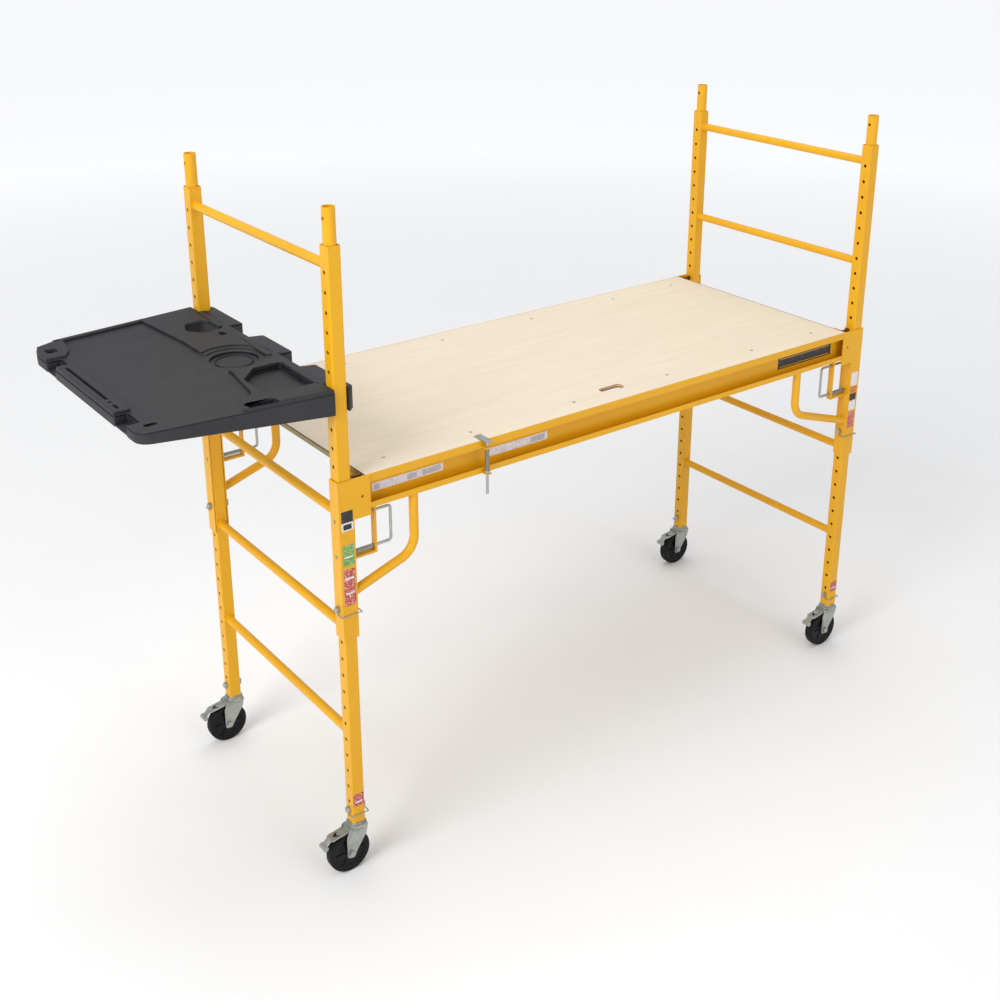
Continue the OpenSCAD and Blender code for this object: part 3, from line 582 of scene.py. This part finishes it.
# %% Tray floor
DISH = np.array([-1.095, -0.045])
HEX = (-1.052, 0.228)
hex_hole = rounded(circle(*HEX, 57 * MM, 6, math.radians(8)), 24 * MM)
pliers = box2(-1.462, -1.430, -0.332, -0.316, 6 * MM)
driver = circle(-1.4745, -0.155, 5 * MM, 20)
small_slot = box2(-1.045, -1.029, 0.128, 0.156, 5 * MM)
pocket = rounded([(-1.150, -0.335), (-1.016, -0.335), (-1.016, -0.150), (-1.092, -0.150), (-1.150, -0.210)],
                 9 * MM)
corner_hole = box2(-1.474, -1.447, 0.268, 0.298, 4 * MM)
hammer = rounded([(-1.223, -0.386), (-1.147, -0.393), (-1.147, -0.366), (-1.223, -0.360)], 6 * MM)
DISH_R = np.array([97, 81, 64, 47]) * MM
openings = [hex_hole, circle(*DISH, DISH_R[2], 64), pliers, driver, small_slot, pocket, corner_hole, hammer]
levels = [plate([rim] + openings, FLOOR - 6 * MM, FLOOR, 1.5 * MM)]


def well(hole, top, depth, base=True):
    """The wall round an opening, from just under the level's top down, and its base."""
    hole = wound(hole, True)
    parts = [plate([inset(hole, -3.5 * MM), hole], top - depth, top - 1 * MM, 0.7 * MM)]
    if base:
        parts.append(plate([inset(hole, -2.5 * MM)], top - depth - 3 * MM, top - depth, 0.7 * MM))
    return parts


levels += well(circle(*DISH, DISH_R[2], 64), FLOOR, 7 * MM)
levels.append(plate([circle(*DISH, DISH_R[3] + 4 * MM, 64), circle(*DISH, DISH_R[3], 64)],
                    FLOOR - 8 * MM, FLOOR - 4 * MM, 1.4 * MM))
for hole, depth, base in ((hex_hole, 46 * MM, False), (corner_hole, 26 * MM, True), (pliers, 20 * MM, True),
                          (small_slot, 16 * MM, True), (pocket, 12 * MM, True), (hammer, 24 * MM, True),
                          (driver, 20 * MM, True)):
    levels += well(hole, FLOOR, depth, base)
for y0, y1 in ((0.160, 0.228), (-0.300, -0.224)):
    levels.append(plate([box2(TRAY_OUT + 2 * MM, -1.452, y0, y1)], FLOOR - 27 * MM, FLOOR - 23 * MM, 1 * MM))
print("floor, dish and wells:", len(levels), "shells")

# %% [markdown]
# ### The raised end
# Towards the posts the tray is one step higher. The dish cuts into that step
# from the side, so its rings are arcs that run out onto the lower floor.

# %% Raised end


def arc(radius, half_angle, n=40):
    """Points round the dish from -half_angle to +half_angle, through the side nearest the posts."""
    a = np.linspace(-half_angle, half_angle, n)[:, None]
    return DISH + radius * np.concatenate([np.cos(a), np.sin(a)], 1)


STEP_X = -1.150
open_angle = math.pi - math.acos((DISH[0] - STEP_X) / DISH_R[0])
edge_x = PX - NOTCH - 1.5 * MM
raised = np.concatenate([
    rounded([(STEP_X, 0.150), (STEP_X - 22 * MM, 0.3905), (edge_x, TRAY_HALF - 1.2 * MM), (edge_x, 0.354),
             (PX - 6.5 * MM, 0.354), (PX - 6.5 * MM, -0.354), (edge_x, -0.354),
             (edge_x, -TRAY_HALF + 1.2 * MM), (-1.245, -0.3875), (-1.175, -0.300), (STEP_X, -0.150)],
            np.array([20, 8, 4, 1, 1, 1, 1, 4, 10, 30, 6]) * MM),
    arc(DISH_R[0], open_angle)])
raised_holes = [inset(wound(h, True), -0.3 * MM) for h in (hex_hole, small_slot, pocket, hammer)]
levels.append(plate([raised] + raised_holes, FLOOR - 4 * MM, TRAY_TOP, 2.2 * MM))
step = np.concatenate([arc(DISH_R[0] + 3 * MM, open_angle), arc(DISH_R[1], open_angle)[::-1]])
levels.append(plate([step], FLOOR - 4 * MM, FLOOR + 3.5 * MM, 1.6 * MM))
far_bar = rounded([(-1.430, 0.3615), (-1.165, 0.3915), (-1.165, 0.376), (-1.430, 0.3465)], 3 * MM)
levels.append(plate([far_bar], FLOOR - 3 * MM, TRAY_TOP, 2 * MM))
block = rounded([(-1.494, 0.230), (-1.440, 0.230), (-1.420, 0.262), (-1.405, 0.345), (-1.412, 0.3625),
                 (-1.481, 0.3345), (-1.494, 0.291)], 5 * MM)
levels.append(plate([block, inset(wound(corner_hole, True), -0.5 * MM)], FLOOR - 20 * MM, TRAY_TOP, 3 * MM))
outer_bar = box2(-1.494, -1.450, -0.222, 0.158, 5 * MM)
groove = box2(-1.478, -1.470, -0.135, 0.135, 3.5 * MM)
groove_near = box2(-1.478, -1.470, -0.205, -0.175, 3.5 * MM)
levels.append(plate([outer_bar, groove, groove_near, inset(wound(driver, True), -0.5 * MM)],
                    FLOOR - 3 * MM, TRAY_TOP, 2 * MM))
print("raised levels added:", len(levels), "shells")

# %% Blocks over the rung


def sloped(shell, x0, x1, drop):
    """Lowers a shell's top points in proportion to how far they lie past x0 on the way to x1."""
    p, f = shell
    t = np.clip((p[:, 0] - x0) / (x1 - x0), 0, 1)
    return np.column_stack([p[:, :2], p[:, 2] - drop * t * (p[:, 2] > FLOOR - 1 * MM)]), f


x_in, x_out, y_in, y_ear = TRAY_IN - 0.5 * MM, PX - 34 * MM, POST_Y - NOTCH - 6 * MM, TRAY_HALF - 23 * MM
ear = np.array([(x_out, GAP[1]), (x_in, GAP[1]), (x_in, y_ear), (PX + NOTCH + 1 * MM, y_ear + 19 * MM),
                (PX + NOTCH + 1 * MM, y_in), (x_out, y_in)])
middle = np.array([(x_out, -GAP[0]), (x_in, -GAP[0]), (x_in, GAP[0]), (x_out, GAP[0])])
for outline in (ear, ear * (1, -1), middle):
    pad = plate([rounded(outline, 4 * MM)], FLOOR - 4 * MM, TRAY_TOP, 2.5 * MM)
    levels.append(sloped(pad, PX + 4 * MM, TRAY_IN, 8 * MM))
for y0, y1 in ((-GAP[0], GAP[0]), (GAP[1], y_in), (-y_in, -GAP[1])):
    levels.append(plate([box2(TRAY_IN - 14 * MM, TRAY_IN - 1 * MM, y0 + 4 * MM, y1 - 4 * MM, 4 * MM)],
                        TRAY_TOP - 60 * MM, FLOOR - 3 * MM, 2.5 * MM))
tray = mesh_piece("tool_tray_moulding", [skirt] + levels, "tool_tray", plastic, ["tool_tray"])
print("tray:", len(tray.data.polygons), "faces")

# %% [markdown]
# ## Bent braces
# Each brace drops from the side rail, turns in one bend and meets the sleeve at
# a slant. It is a round tube, so the path is a straight, an arc and a straight,
# with a bead of weld where it lands.

# %% Braces
BRACE_R = 12.7 * MM
SLEEVE_W = (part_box("sleeve_far_right")[1].y - POST[1])
BEND = 62 * MM
SLOPE = math.radians(18.3)
LAND_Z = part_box("sleeve_far_right")[0].z + 129 * MM
RAIL_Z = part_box("rail_far")[0].z
RAIL_FACE = SLEEVE_W - 3 * MM
BRACE_Y = BRACE_R + 0.1 * MM - RAIL_FACE
BRACE_REACH = {"left": 212 * MM, "right": 272 * MM}


def brace_path(reach):
    """Down from the rail, an arc of the bend's radius, then the slant to the
    sleeve: the arc touches both lines, so its start is tan(turn/2) x radius
    from where they would cross."""
    turn = math.pi / 2 - SLOPE
    knee = LAND_Z + (reach - SLEEVE_W) * math.tan(SLOPE)
    a = np.linspace(0, turn, 14)
    arc = np.stack([reach - BEND * (1 - np.cos(a)), 0 * a,
                    knee + BEND * (math.tan(turn / 2) - np.sin(a))], -1)
    end = np.array([SLEEVE_W - 2 * MM, 0, LAND_Z - 2 * MM * math.tan(SLOPE)])
    slant = arc[-1] + (end - arc[-1]) * np.linspace(0.1, 1, 8)[:, None]
    top = np.array([[reach, 0, RAIL_Z], [reach, 0, RAIL_Z - 5 * MM], [reach, 0, RAIL_Z - 10 * MM]])
    return np.concatenate([top, arc, slant])


for end, reach in BRACE_REACH.items():
    shells = []
    for side in (f"near_{end}", f"far_{end}"):
        path = brace_path(reach) + np.array([0, BRACE_Y, 0])
        shells.append(orient(*sweep(to_corner(path, side), BRACE_R, (0, 1, 0), 28)))
    mesh_piece(f"bent_braces_{end}", shells, "platform", powder, [f"braces_{end}"])
print("four braces")

# %% [markdown]
# ## Coil springs
# A helix of thin wire, a circle carried along a screw line. Each lock rod's
# spring sits between the rod's collar and its bracket.


def helix(length, radius, wire, pitch):
    """Centre line (s, r cos a, r sin a): a turns once for every pitch of s."""
    turns = length / pitch
    a = np.linspace(0, 2 * np.pi * turns, int(turns * 18))
    s = wire / 2 + (length - wire) * a / a[-1]
    return np.stack([s, radius * np.cos(a), radius * np.sin(a)], -1)


for side in SIDES:
    lo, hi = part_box(f"lock_spring_{side}")
    sx = SIDES[side][0]
    centre = np.array([0, (lo.y + hi.y) / 2, (lo.z + hi.z) / 2])
    path = helix(hi.x - lo.x, 5.6 * MM, 1.6 * MM, 4.6 * MM) + centre + np.array([lo.x, 0, 0])
    spring = mesh_piece(f"lock_coil_{side}", [sweep(path, 0.8 * MM, (1, 0, 0), 7)], "platform", zinc,
                        [f"lock_spring_{side}"])
    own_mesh(spring)
lo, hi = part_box("latch_spring")
LATCH = np.array([(lo.x + hi.x) / 2, (lo.y + hi.y) / 2])
path = helix(hi.z - lo.z, 5.7 * MM, 1.5 * MM, 4.4 * MM)[:, [1, 2, 0]] + np.array([*LATCH, lo.z])
spring = mesh_piece("latch_coil", [sweep(path, 0.75 * MM, (0, 0, 1), 7)], "platform", zinc,
                    ["latch_spring"])
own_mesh(spring)
print("five coil springs")

# %% [markdown]
# ## Casters
# A caster is a pressed fork under a ball race, a wheel with a rubber tyre on a
# nylon core, and a brake pedal over it. One caster is worked out in its own
# frame, trailing along +x, and placed four times by a turn and a move.

# %% Caster numbers
TRAIL = 30 * MM
ANGLE = math.radians(180)
WHEEL_R = 63.5 * MM
CROWN = 141.7 * MM
LEG_IN, LEG_T = 18.5 * MM, 3 * MM
TURN = np.array([[math.cos(ANGLE), -math.sin(ANGLE), 0], [math.sin(ANGLE), math.cos(ANGLE), 0], [0, 0, 1]])
SIDEWAYS = np.array([[1, 0, 0], [0, 0, -1], [0, 1, 0]])


def at_caster(shell, side):
    """Turns a shell to the resting angle and moves it under its post."""
    sx, sy = SIDES[side]
    return moved(shell, TURN, (sx * POST[0], sy * POST[1], 0))


# %% Fork
HUB = (TRAIL, WHEEL_R)
leg_outline = rounded([(-27 * MM, CROWN), (33 * MM, CROWN), (43 * MM, 118 * MM), (43 * MM, 56 * MM),
                       (39 * MM, 49 * MM), (21 * MM, 49 * MM), (15 * MM, 60 * MM), (-20 * MM, 112 * MM)],
                      np.array([3, 6, 22, 6, 6, 6, 14, 22]) * MM)
leg = plate([leg_outline, circle(*HUB, 6.2 * MM, 24)], -LEG_T / 2, LEG_T / 2, 0.9 * MM)
rib = plate([rounded([(-14 * MM, CROWN - 10 * MM), (26 * MM, CROWN - 10 * MM), (36 * MM, 112 * MM),
                      (36 * MM, 82 * MM), (20 * MM, 82 * MM), (-8 * MM, 112 * MM)], 6 * MM)],
            -LEG_T, LEG_T, 1.2 * MM)
crown = plate([box2(-27 * MM, 33 * MM, -LEG_IN - LEG_T, LEG_IN + LEG_T, 7 * MM)], CROWN - 5 * MM, CROWN,
              1.4 * MM)
race = lathe(np.array([(0.1, 141), (26.5, 141), (28.6, 142.2), (29, 144), (28.6, 146.2), (27, 147.2),
                       (24.5, 147.6), (24, 148.6), (0.1, 148.6)]) * MM)
fork_shells = [crown, race]
for s in (-1, 1):
    for shape in (leg, rib):
        fork_shells.append(moved(shape, SIDEWAYS, (0, s * (LEG_IN + LEG_T / 2), 0)))
for side in SIDES:
    mesh_piece(f"pressed_fork_{side}", [fix_faces(*at_caster(s, side)) for s in fork_shells],
               f"caster_{side}", zinc, [f"fork_{side}"])
print("four forks of", len(fork_shells), "shells")

# %% [markdown]
# ### The wheel
# The tyre and the core are profiles turned round the axle, the tyre with
# softened shoulders. Six ribs stand out from the core's thin disc.

# %% Wheel
r = WHEEL_R
tyre = lathe([(r - 12 * MM, -14.4 * MM), (r - 5 * MM, -15.6 * MM), (r - 2 * MM, -14.2 * MM),
              (r - 0.6 * MM, -11.5 * MM), (r - 0.1 * MM, -7 * MM), (r, 0), (r - 0.1 * MM, 7 * MM),
              (r - 0.6 * MM, 11.5 * MM), (r - 2 * MM, 14.2 * MM), (r - 5 * MM, 15.6 * MM),
              (r - 12 * MM, 14.4 * MM)], 96)
hub = lathe(np.array([(6.2, -18.1), (13.5, -18.1), (14.5, -17.2), (15.5, -12), (30, -9.5), (44, -10.5),
                      (47.5, -13.8), (52, -14.2), (52, 14.2), (47.5, 13.8), (44, 10.5), (30, 9.5),
                      (15.5, 12), (14.5, 17.2), (13.5, 18.1), (6.2, 18.1)]) * MM, 64)
spokes = [moved(plate([box2(14 * MM, 47 * MM, -1.6 * MM, 1.6 * MM, 1 * MM)], -12.6 * MM, 12.6 * MM, 0.7 * MM),
                [[math.cos(a), -math.sin(a), 0], [math.sin(a), math.cos(a), 0], [0, 0, 1]])
          for a in np.linspace(0, 2 * np.pi, 6, endpoint=False)]
for side in SIDES:
    for name, shells, mat in (("tyre", [tyre], rubber), ("wheel_core", [hub] + spokes, core)):
        placed = [fix_faces(*at_caster(moved(s, SIDEWAYS, (TRAIL, 0, WHEEL_R)), side)) for s in shells]
        mesh_piece(f"{name}_{side}", placed, f"wheel_{side}", mat, [f"wheel_{side}"])
print("four wheels")

# %% [markdown]
# ### The brake pedal
# A plate with an arrow cut through it turns on a pin under the crown. It has a
# lip along each side and a tongue that dips to the rolled step. At rest it lies
# eight degrees down, and the black shoe under it stands clear of the tyre.

# %% Brake pedal
PEDAL = np.array([30 * MM, 0, 132.1 * MM])
KNEE, REACH, DROP = 58 * MM, 78 * MM, 14 * MM
RESTING_DIP = math.radians(8)


def tilt(angle):
    """The matrix that dips whatever runs along +x by an angle."""
    c, s = math.cos(angle), math.sin(angle)
    return np.array([[c, 0, s], [0, 1, 0], [-s, 0, c]])


arrow = np.array([(27, -9), (35, -9), (48, 0), (35, 9), (27, 9), (37, 0)]) * MM
tread = plate([rounded(np.array([(1, -17), (54, -17), (60, -12), (60, 12), (54, 17), (1, 17)]) * MM, 3 * MM),
               rounded(arrow, 1.2 * MM)], 0, 3 * MM, 0.9 * MM)
lips = [plate([box2(6 * MM, 54 * MM, y - 1.4 * MM, y + 1.4 * MM, 1.2 * MM)], 0, 3.8 * MM, 0.9 * MM)
        for y in (-14.8 * MM, 14.8 * MM)]
tongue = plate([box2(-3 * MM, REACH - KNEE + 1 * MM, -11 * MM, 11 * MM, 2 * MM)], 0, 3 * MM, 0.9 * MM)
tongue = moved(tongue, tilt(math.atan2(DROP, REACH - KNEE)), (KNEE, 0, 0))


def roll(x, z, radius, half):
    """A rod across the pedal with softened ends."""
    rod = lathe([(0.1 * MM, -half), (radius - 0.8 * MM, -half), (radius, -half + 0.8 * MM),
                 (radius, half - 0.8 * MM), (radius - 0.8 * MM, half), (0.1 * MM, half)], 28)
    return moved(rod, SIDEWAYS, (x, 0, z))


pedal_shells = [tread, *lips, tongue, roll(0, 0, 4.4 * MM, 17 * MM), roll(0, 0, 2.5 * MM, 23.4 * MM),
                roll(REACH, -DROP, 7.9 * MM, 14 * MM)]
shoe = plate([box2(18 * MM, 52 * MM, -12.5 * MM, 12.5 * MM, 3 * MM)], -3 * MM, -0.4 * MM, 0.7 * MM)
for side in SIDES:
    placed = [fix_faces(*at_caster(moved(shoe, tilt(RESTING_DIP), PEDAL), side))]
    mesh_piece(f"brake_shoe_{side}", placed, f"pedal_{side}", core)
    placed = [fix_faces(*at_caster(moved(s, tilt(RESTING_DIP), PEDAL), side)) for s in pedal_shells]
    mesh_piece(f"brake_pedal_{side}", placed, f"pedal_{side}", zinc, [f"pedal_{side}"])
print("four pedals and the black shoes under them")

# %% [markdown]
# ## Weld beads
# Rungs, braces and brackets are welded. A bead is a small torus whose thickness
# ripples as the welder's hand does, painted over with the same powder.

# %% Weld beads


def bead(centre, axis_matrix, ring_r, thick, ripples=26, n=104, sides=8):
    """Torus ((R + t cos b) cos a, (R + t cos b) sin a, t sin b), where t is
    thick x (1 + 0.16 sin(ripples a))."""
    a = np.linspace(0, 2 * np.pi, n, endpoint=False)[:, None]
    b = np.linspace(0, 2 * np.pi, sides, endpoint=False)[None, :]
    t = thick * (1 + 0.16 * np.sin(ripples * a))
    ring = ring_r + t * np.cos(b)
    skin = np.stack([ring * np.cos(a), ring * np.sin(a), t * np.sin(b) + 0 * a], -1).reshape(-1, 3)
    return moved(orient(skin, grid_faces(n, sides, wrap_rows=True)), axis_matrix, centre)


ALONG_Y = np.array([[1, 0, 0], [0, 0, 1], [0, -1, 0]])
TOP_RUNG, RUNG_PITCH, RUNGS = 54 * MM, 330.2 * MM, 5
rung_z = [POST_TOP - TOP_RUNG - k * RUNG_PITCH for k in range(RUNGS)]
for end, sx in (("left", -1), ("right", 1)):
    shells = [bead((sx * POST[0], sy * (POST[1] - HALF_W - 0.6 * MM), z), ALONG_Y, RUNG_R + 0.4 * MM,
                   2.2 * MM) for sy in (-1, 1) for z in rung_z]
    mesh_piece(f"rung_welds_{end}", shells, "frames", powder)
TO_X = np.array([[0, 0, 1], [0, 1, 0], [-1, 0, 0]])
shells = []
for side in SIDES:
    spot = to_corner((SLEEVE_W, BRACE_Y, LAND_Z), side)
    shells.append(bead(spot, TO_X, BRACE_R + 0.6 * MM, 2.0 * MM))
mesh_piece("brace_welds", shells, "platform", powder)
print("24 beads")

# %% [markdown]
# ## Labels
# The real scaffold carries safety and size labels. Here they are plain vinyl
# rectangles in the same places, with only colour fields and rows of dashes
# that say nothing.

# %% Labels


def vinyl(name, code, ink="#8F8A80", amount=0.0):
    """Printed vinyl: an even colour under a scuffed gloss film, with the given
    amount of ink in rows of dashes 5 mm long and 2 mm high that say nothing."""
    mat, out = material(name)
    place = add(mat, "ShaderNodeTexCoord")
    rows = add(mat, "ShaderNodeMapping", {"Vector": (place, "Object"),
                                          "Scale": (1 / (5 * MM), 1.0, 1 / (2 * MM))})
    dashes = add(mat, "ShaderNodeTexNoise", {"Vector": (rows, "Vector"), "Scale": 1.0, "Detail": 1.0})
    inkiness = add(mat, "ShaderNodeMapRange", {"Value": (dashes, "Fac"), "From Min": 0.5, "From Max": 0.58,
                                               "To Max": amount})
    wear = add(mat, "ShaderNodeTexNoise", {"Vector": (place, "Object"), "Scale": 1 / 0.01, "Detail": 4.0})
    rough = add(mat, "ShaderNodeMapRange", {"Value": (wear, "Fac"), "To Min": 0.25, "To Max": 0.5})
    tint = add(mat, "ShaderNodeMapRange", {"Value": (wear, "Fac"), "From Min": 0.55, "From Max": 0.8,
                                           "To Max": 0.3})
    tone = add(mat, "ShaderNodeMix", {0: (tint, "Result"), 6: rgb(code), 7: rgb("#8F8A80")}, data_type="RGBA")
    inked = add(mat, "ShaderNodeMix", {0: (inkiness, "Result"), 6: (tone, 2), 7: rgb(ink)}, data_type="RGBA")
    shader = add(mat, "ShaderNodeBsdfPrincipled", {"Base Color": (inked, 2), "Roughness": (rough, "Result")})
    return finish_material(mat, out, shader)


VINYL = {"white": vinyl("white_vinyl", "#E6E2E2", "#8C8890", 0.4), "black": vinyl("black_vinyl", "#1B1A18"),
         "red": vinyl("red_vinyl", "#B3241C", "#E8D2C4", 0.6),
         "green": vinyl("green_vinyl", "#5E9330", "#D5DFB4", 0.45),
         "orange": vinyl("orange_vinyl", "#D8741C", "#5A3414", 0.3),
         "grey": vinyl("grey_vinyl", "#BDB9BC", "#8B868C", 0.5), "gold": vinyl("gold_vinyl", "#C98F1D")}
WEB_BACK = 25.5 * MM
FACE_Y = {"rail": -RAIL_FACE - POST[1] + WEB_BACK, "sleeve": -SLEEVE_W - POST[1],
          "post": -HALF_W - POST[1]}


def label(x0, x1, z0, z1, face, lift):
    """A thin plate on a face that looks towards -y, with its front lifted off it."""
    y = FACE_Y[face]
    shell = plate([box2(x0, x1, z0, z1, 1.0 * MM)], lift - 0.25 * MM, lift, 0.05 * MM, 2)
    return fix_faces(*moved(shell, SIDEWAYS, (0, y, 0)))


LABELS = {
    # millimetres: x from, x to, z from, z to, and how many films lie under it
    "rail": ("platform", [
        ("white", -522, -312, 1133, 1157, 0), ("grey", -372, -322, 1137, 1153, 1),
        ("white", -890, -668, 1135, 1158, 0), ("grey", -782, -752, 1139, 1154, 1),
        ("grey", -735, -676, 1139, 1154, 1), ("grey", -884, -868, 1139, 1154, 1),
        ("black", 631, 883, 1127, 1165, 0), ("gold", 640, 874, 1131, 1134, 1),
        ("gold", 640, 874, 1158, 1161, 1)]),
    "sleeve": ("platform", [
        ("black", -1001, -967, 1086, 1118, 0), ("white", -1001, -967, 1062, 1085, 0),
        ("black", -996, -972, 1066, 1081, 1), ("green", -1001, -967, 962, 1022, 0),
        ("white", -997, -971, 985, 989, 1), ("red", -1001, -967, 846, 952, 0),
        ("white", -997, -971, 922, 928, 1), ("white", -997, -971, 880, 884, 1),
        ("white", 969, 1001, 1000, 1048, 0), ("orange", 969, 1001, 975, 997, 0),
        ("black", 969, 1001, 948, 972, 0), ("white", 969, 1001, 912, 945, 0),
        ("red", 969, 1001, 846, 905, 0)]),
    "post": ("frames", [
        ("red", -1002, -968, 210, 250, 0), ("white", -997, -973, 222, 226, 1),
        ("red", 968, 1002, 210, 250, 0), ("white", 973, 997, 222, 226, 1)]),
}
FILM = 0.3 * MM
for face, (body, fields) in LABELS.items():
    for colour in sorted({f[0] for f in fields}):
        shells = [label(*(np.array(f[1:5]) * MM), face, FILM * (1 + f[5])) for f in fields if f[0] == colour]
        mesh_piece(f"label_{face}_{colour}", shells, body, VINYL[colour])
print("labels on", ", ".join(LABELS))

# %% [markdown]
# ## Floor and light
# A pale seamless floor, one broad soft light high on the tray's side, a weaker
# one in front, a third above, and an even pale surround. The side light makes
# the posts' end faces brighter than their front faces. Two metres out the floor
# starts to glow, as paper on a lit table does, so that it stays pale far away.

# %% Floor
FLOOR_SIZE = 160.0
GLOW_FROM, GLOW_TO = 2.0, 9.0
bpy.ops.mesh.primitive_plane_add(size=FLOOR_SIZE, location=(0, 0, 0))
floor = bpy.context.object
floor.name = "studio_floor"
studio, out = material("studio_paper")
place = add(studio, "ShaderNodeTexCoord")
mottle = add(studio, "ShaderNodeTexNoise", {"Vector": (place, "Object"), "Scale": 3.0, "Detail": 2.0})
paper = add(studio, "ShaderNodeMix", {0: (mottle, "Fac"), 6: rgb("#F1F1F0"), 7: rgb("#F4F4F3")},
            data_type="RGBA")
away = add(studio, "ShaderNodeVectorMath", {0: (place, "Object")}, operation="LENGTH")
glow = add(studio, "ShaderNodeMapRange", {"Value": (away, "Value"), "From Min": GLOW_FROM,
                                          "From Max": GLOW_TO, "To Max": 0.42})
shader = add(studio, "ShaderNodeBsdfPrincipled", {"Base Color": (paper, 2), "Roughness": 0.9,
                                                  "Emission Color": rgb("#FFFFFF"),
                                                  "Emission Strength": (glow, "Result")})
floor.data.materials.append(finish_material(studio, out, shader))

# %% Lights
LIGHTS = {
    # place, aimed at, size, watts
    "side": ((-5.5, -1.5, 4.2), (0, 0, 0.9), 3.5, 230),
    "front": ((1.0, -6.0, 3.4), (0, 0, 0.8), 4.0, 60),
    "top": ((0.5, 0.8, 5.5), (0, 0, 0.8), 4.5, 90),
}
for name, (spot, aim, size, watts) in LIGHTS.items():
    lamp = bpy.data.lights.new(f"{name}_light", "AREA")
    lamp.shape, lamp.size, lamp.energy = "DISK", size, watts
    light = bpy.data.objects.new(f"{name}_light", lamp)
    way = np.array(aim) - np.array(spot)
    light.location = spot
    light.rotation_euler = (math.acos(-way[2] / np.linalg.norm(way)), 0, math.atan2(-way[0], way[1]))
    bpy.context.scene.collection.objects.link(light)
world = bpy.data.worlds.new("studio")
world.use_nodes = True
world.node_tree.nodes["Background"].inputs["Color"].default_value = rgb("#F4F6FA")
world.node_tree.nodes["Background"].inputs["Strength"].default_value = 0.62
bpy.context.scene.world = world
bpy.context.scene.view_settings.view_transform = "Standard"
print(len(LIGHTS), "lights and a pale surround")
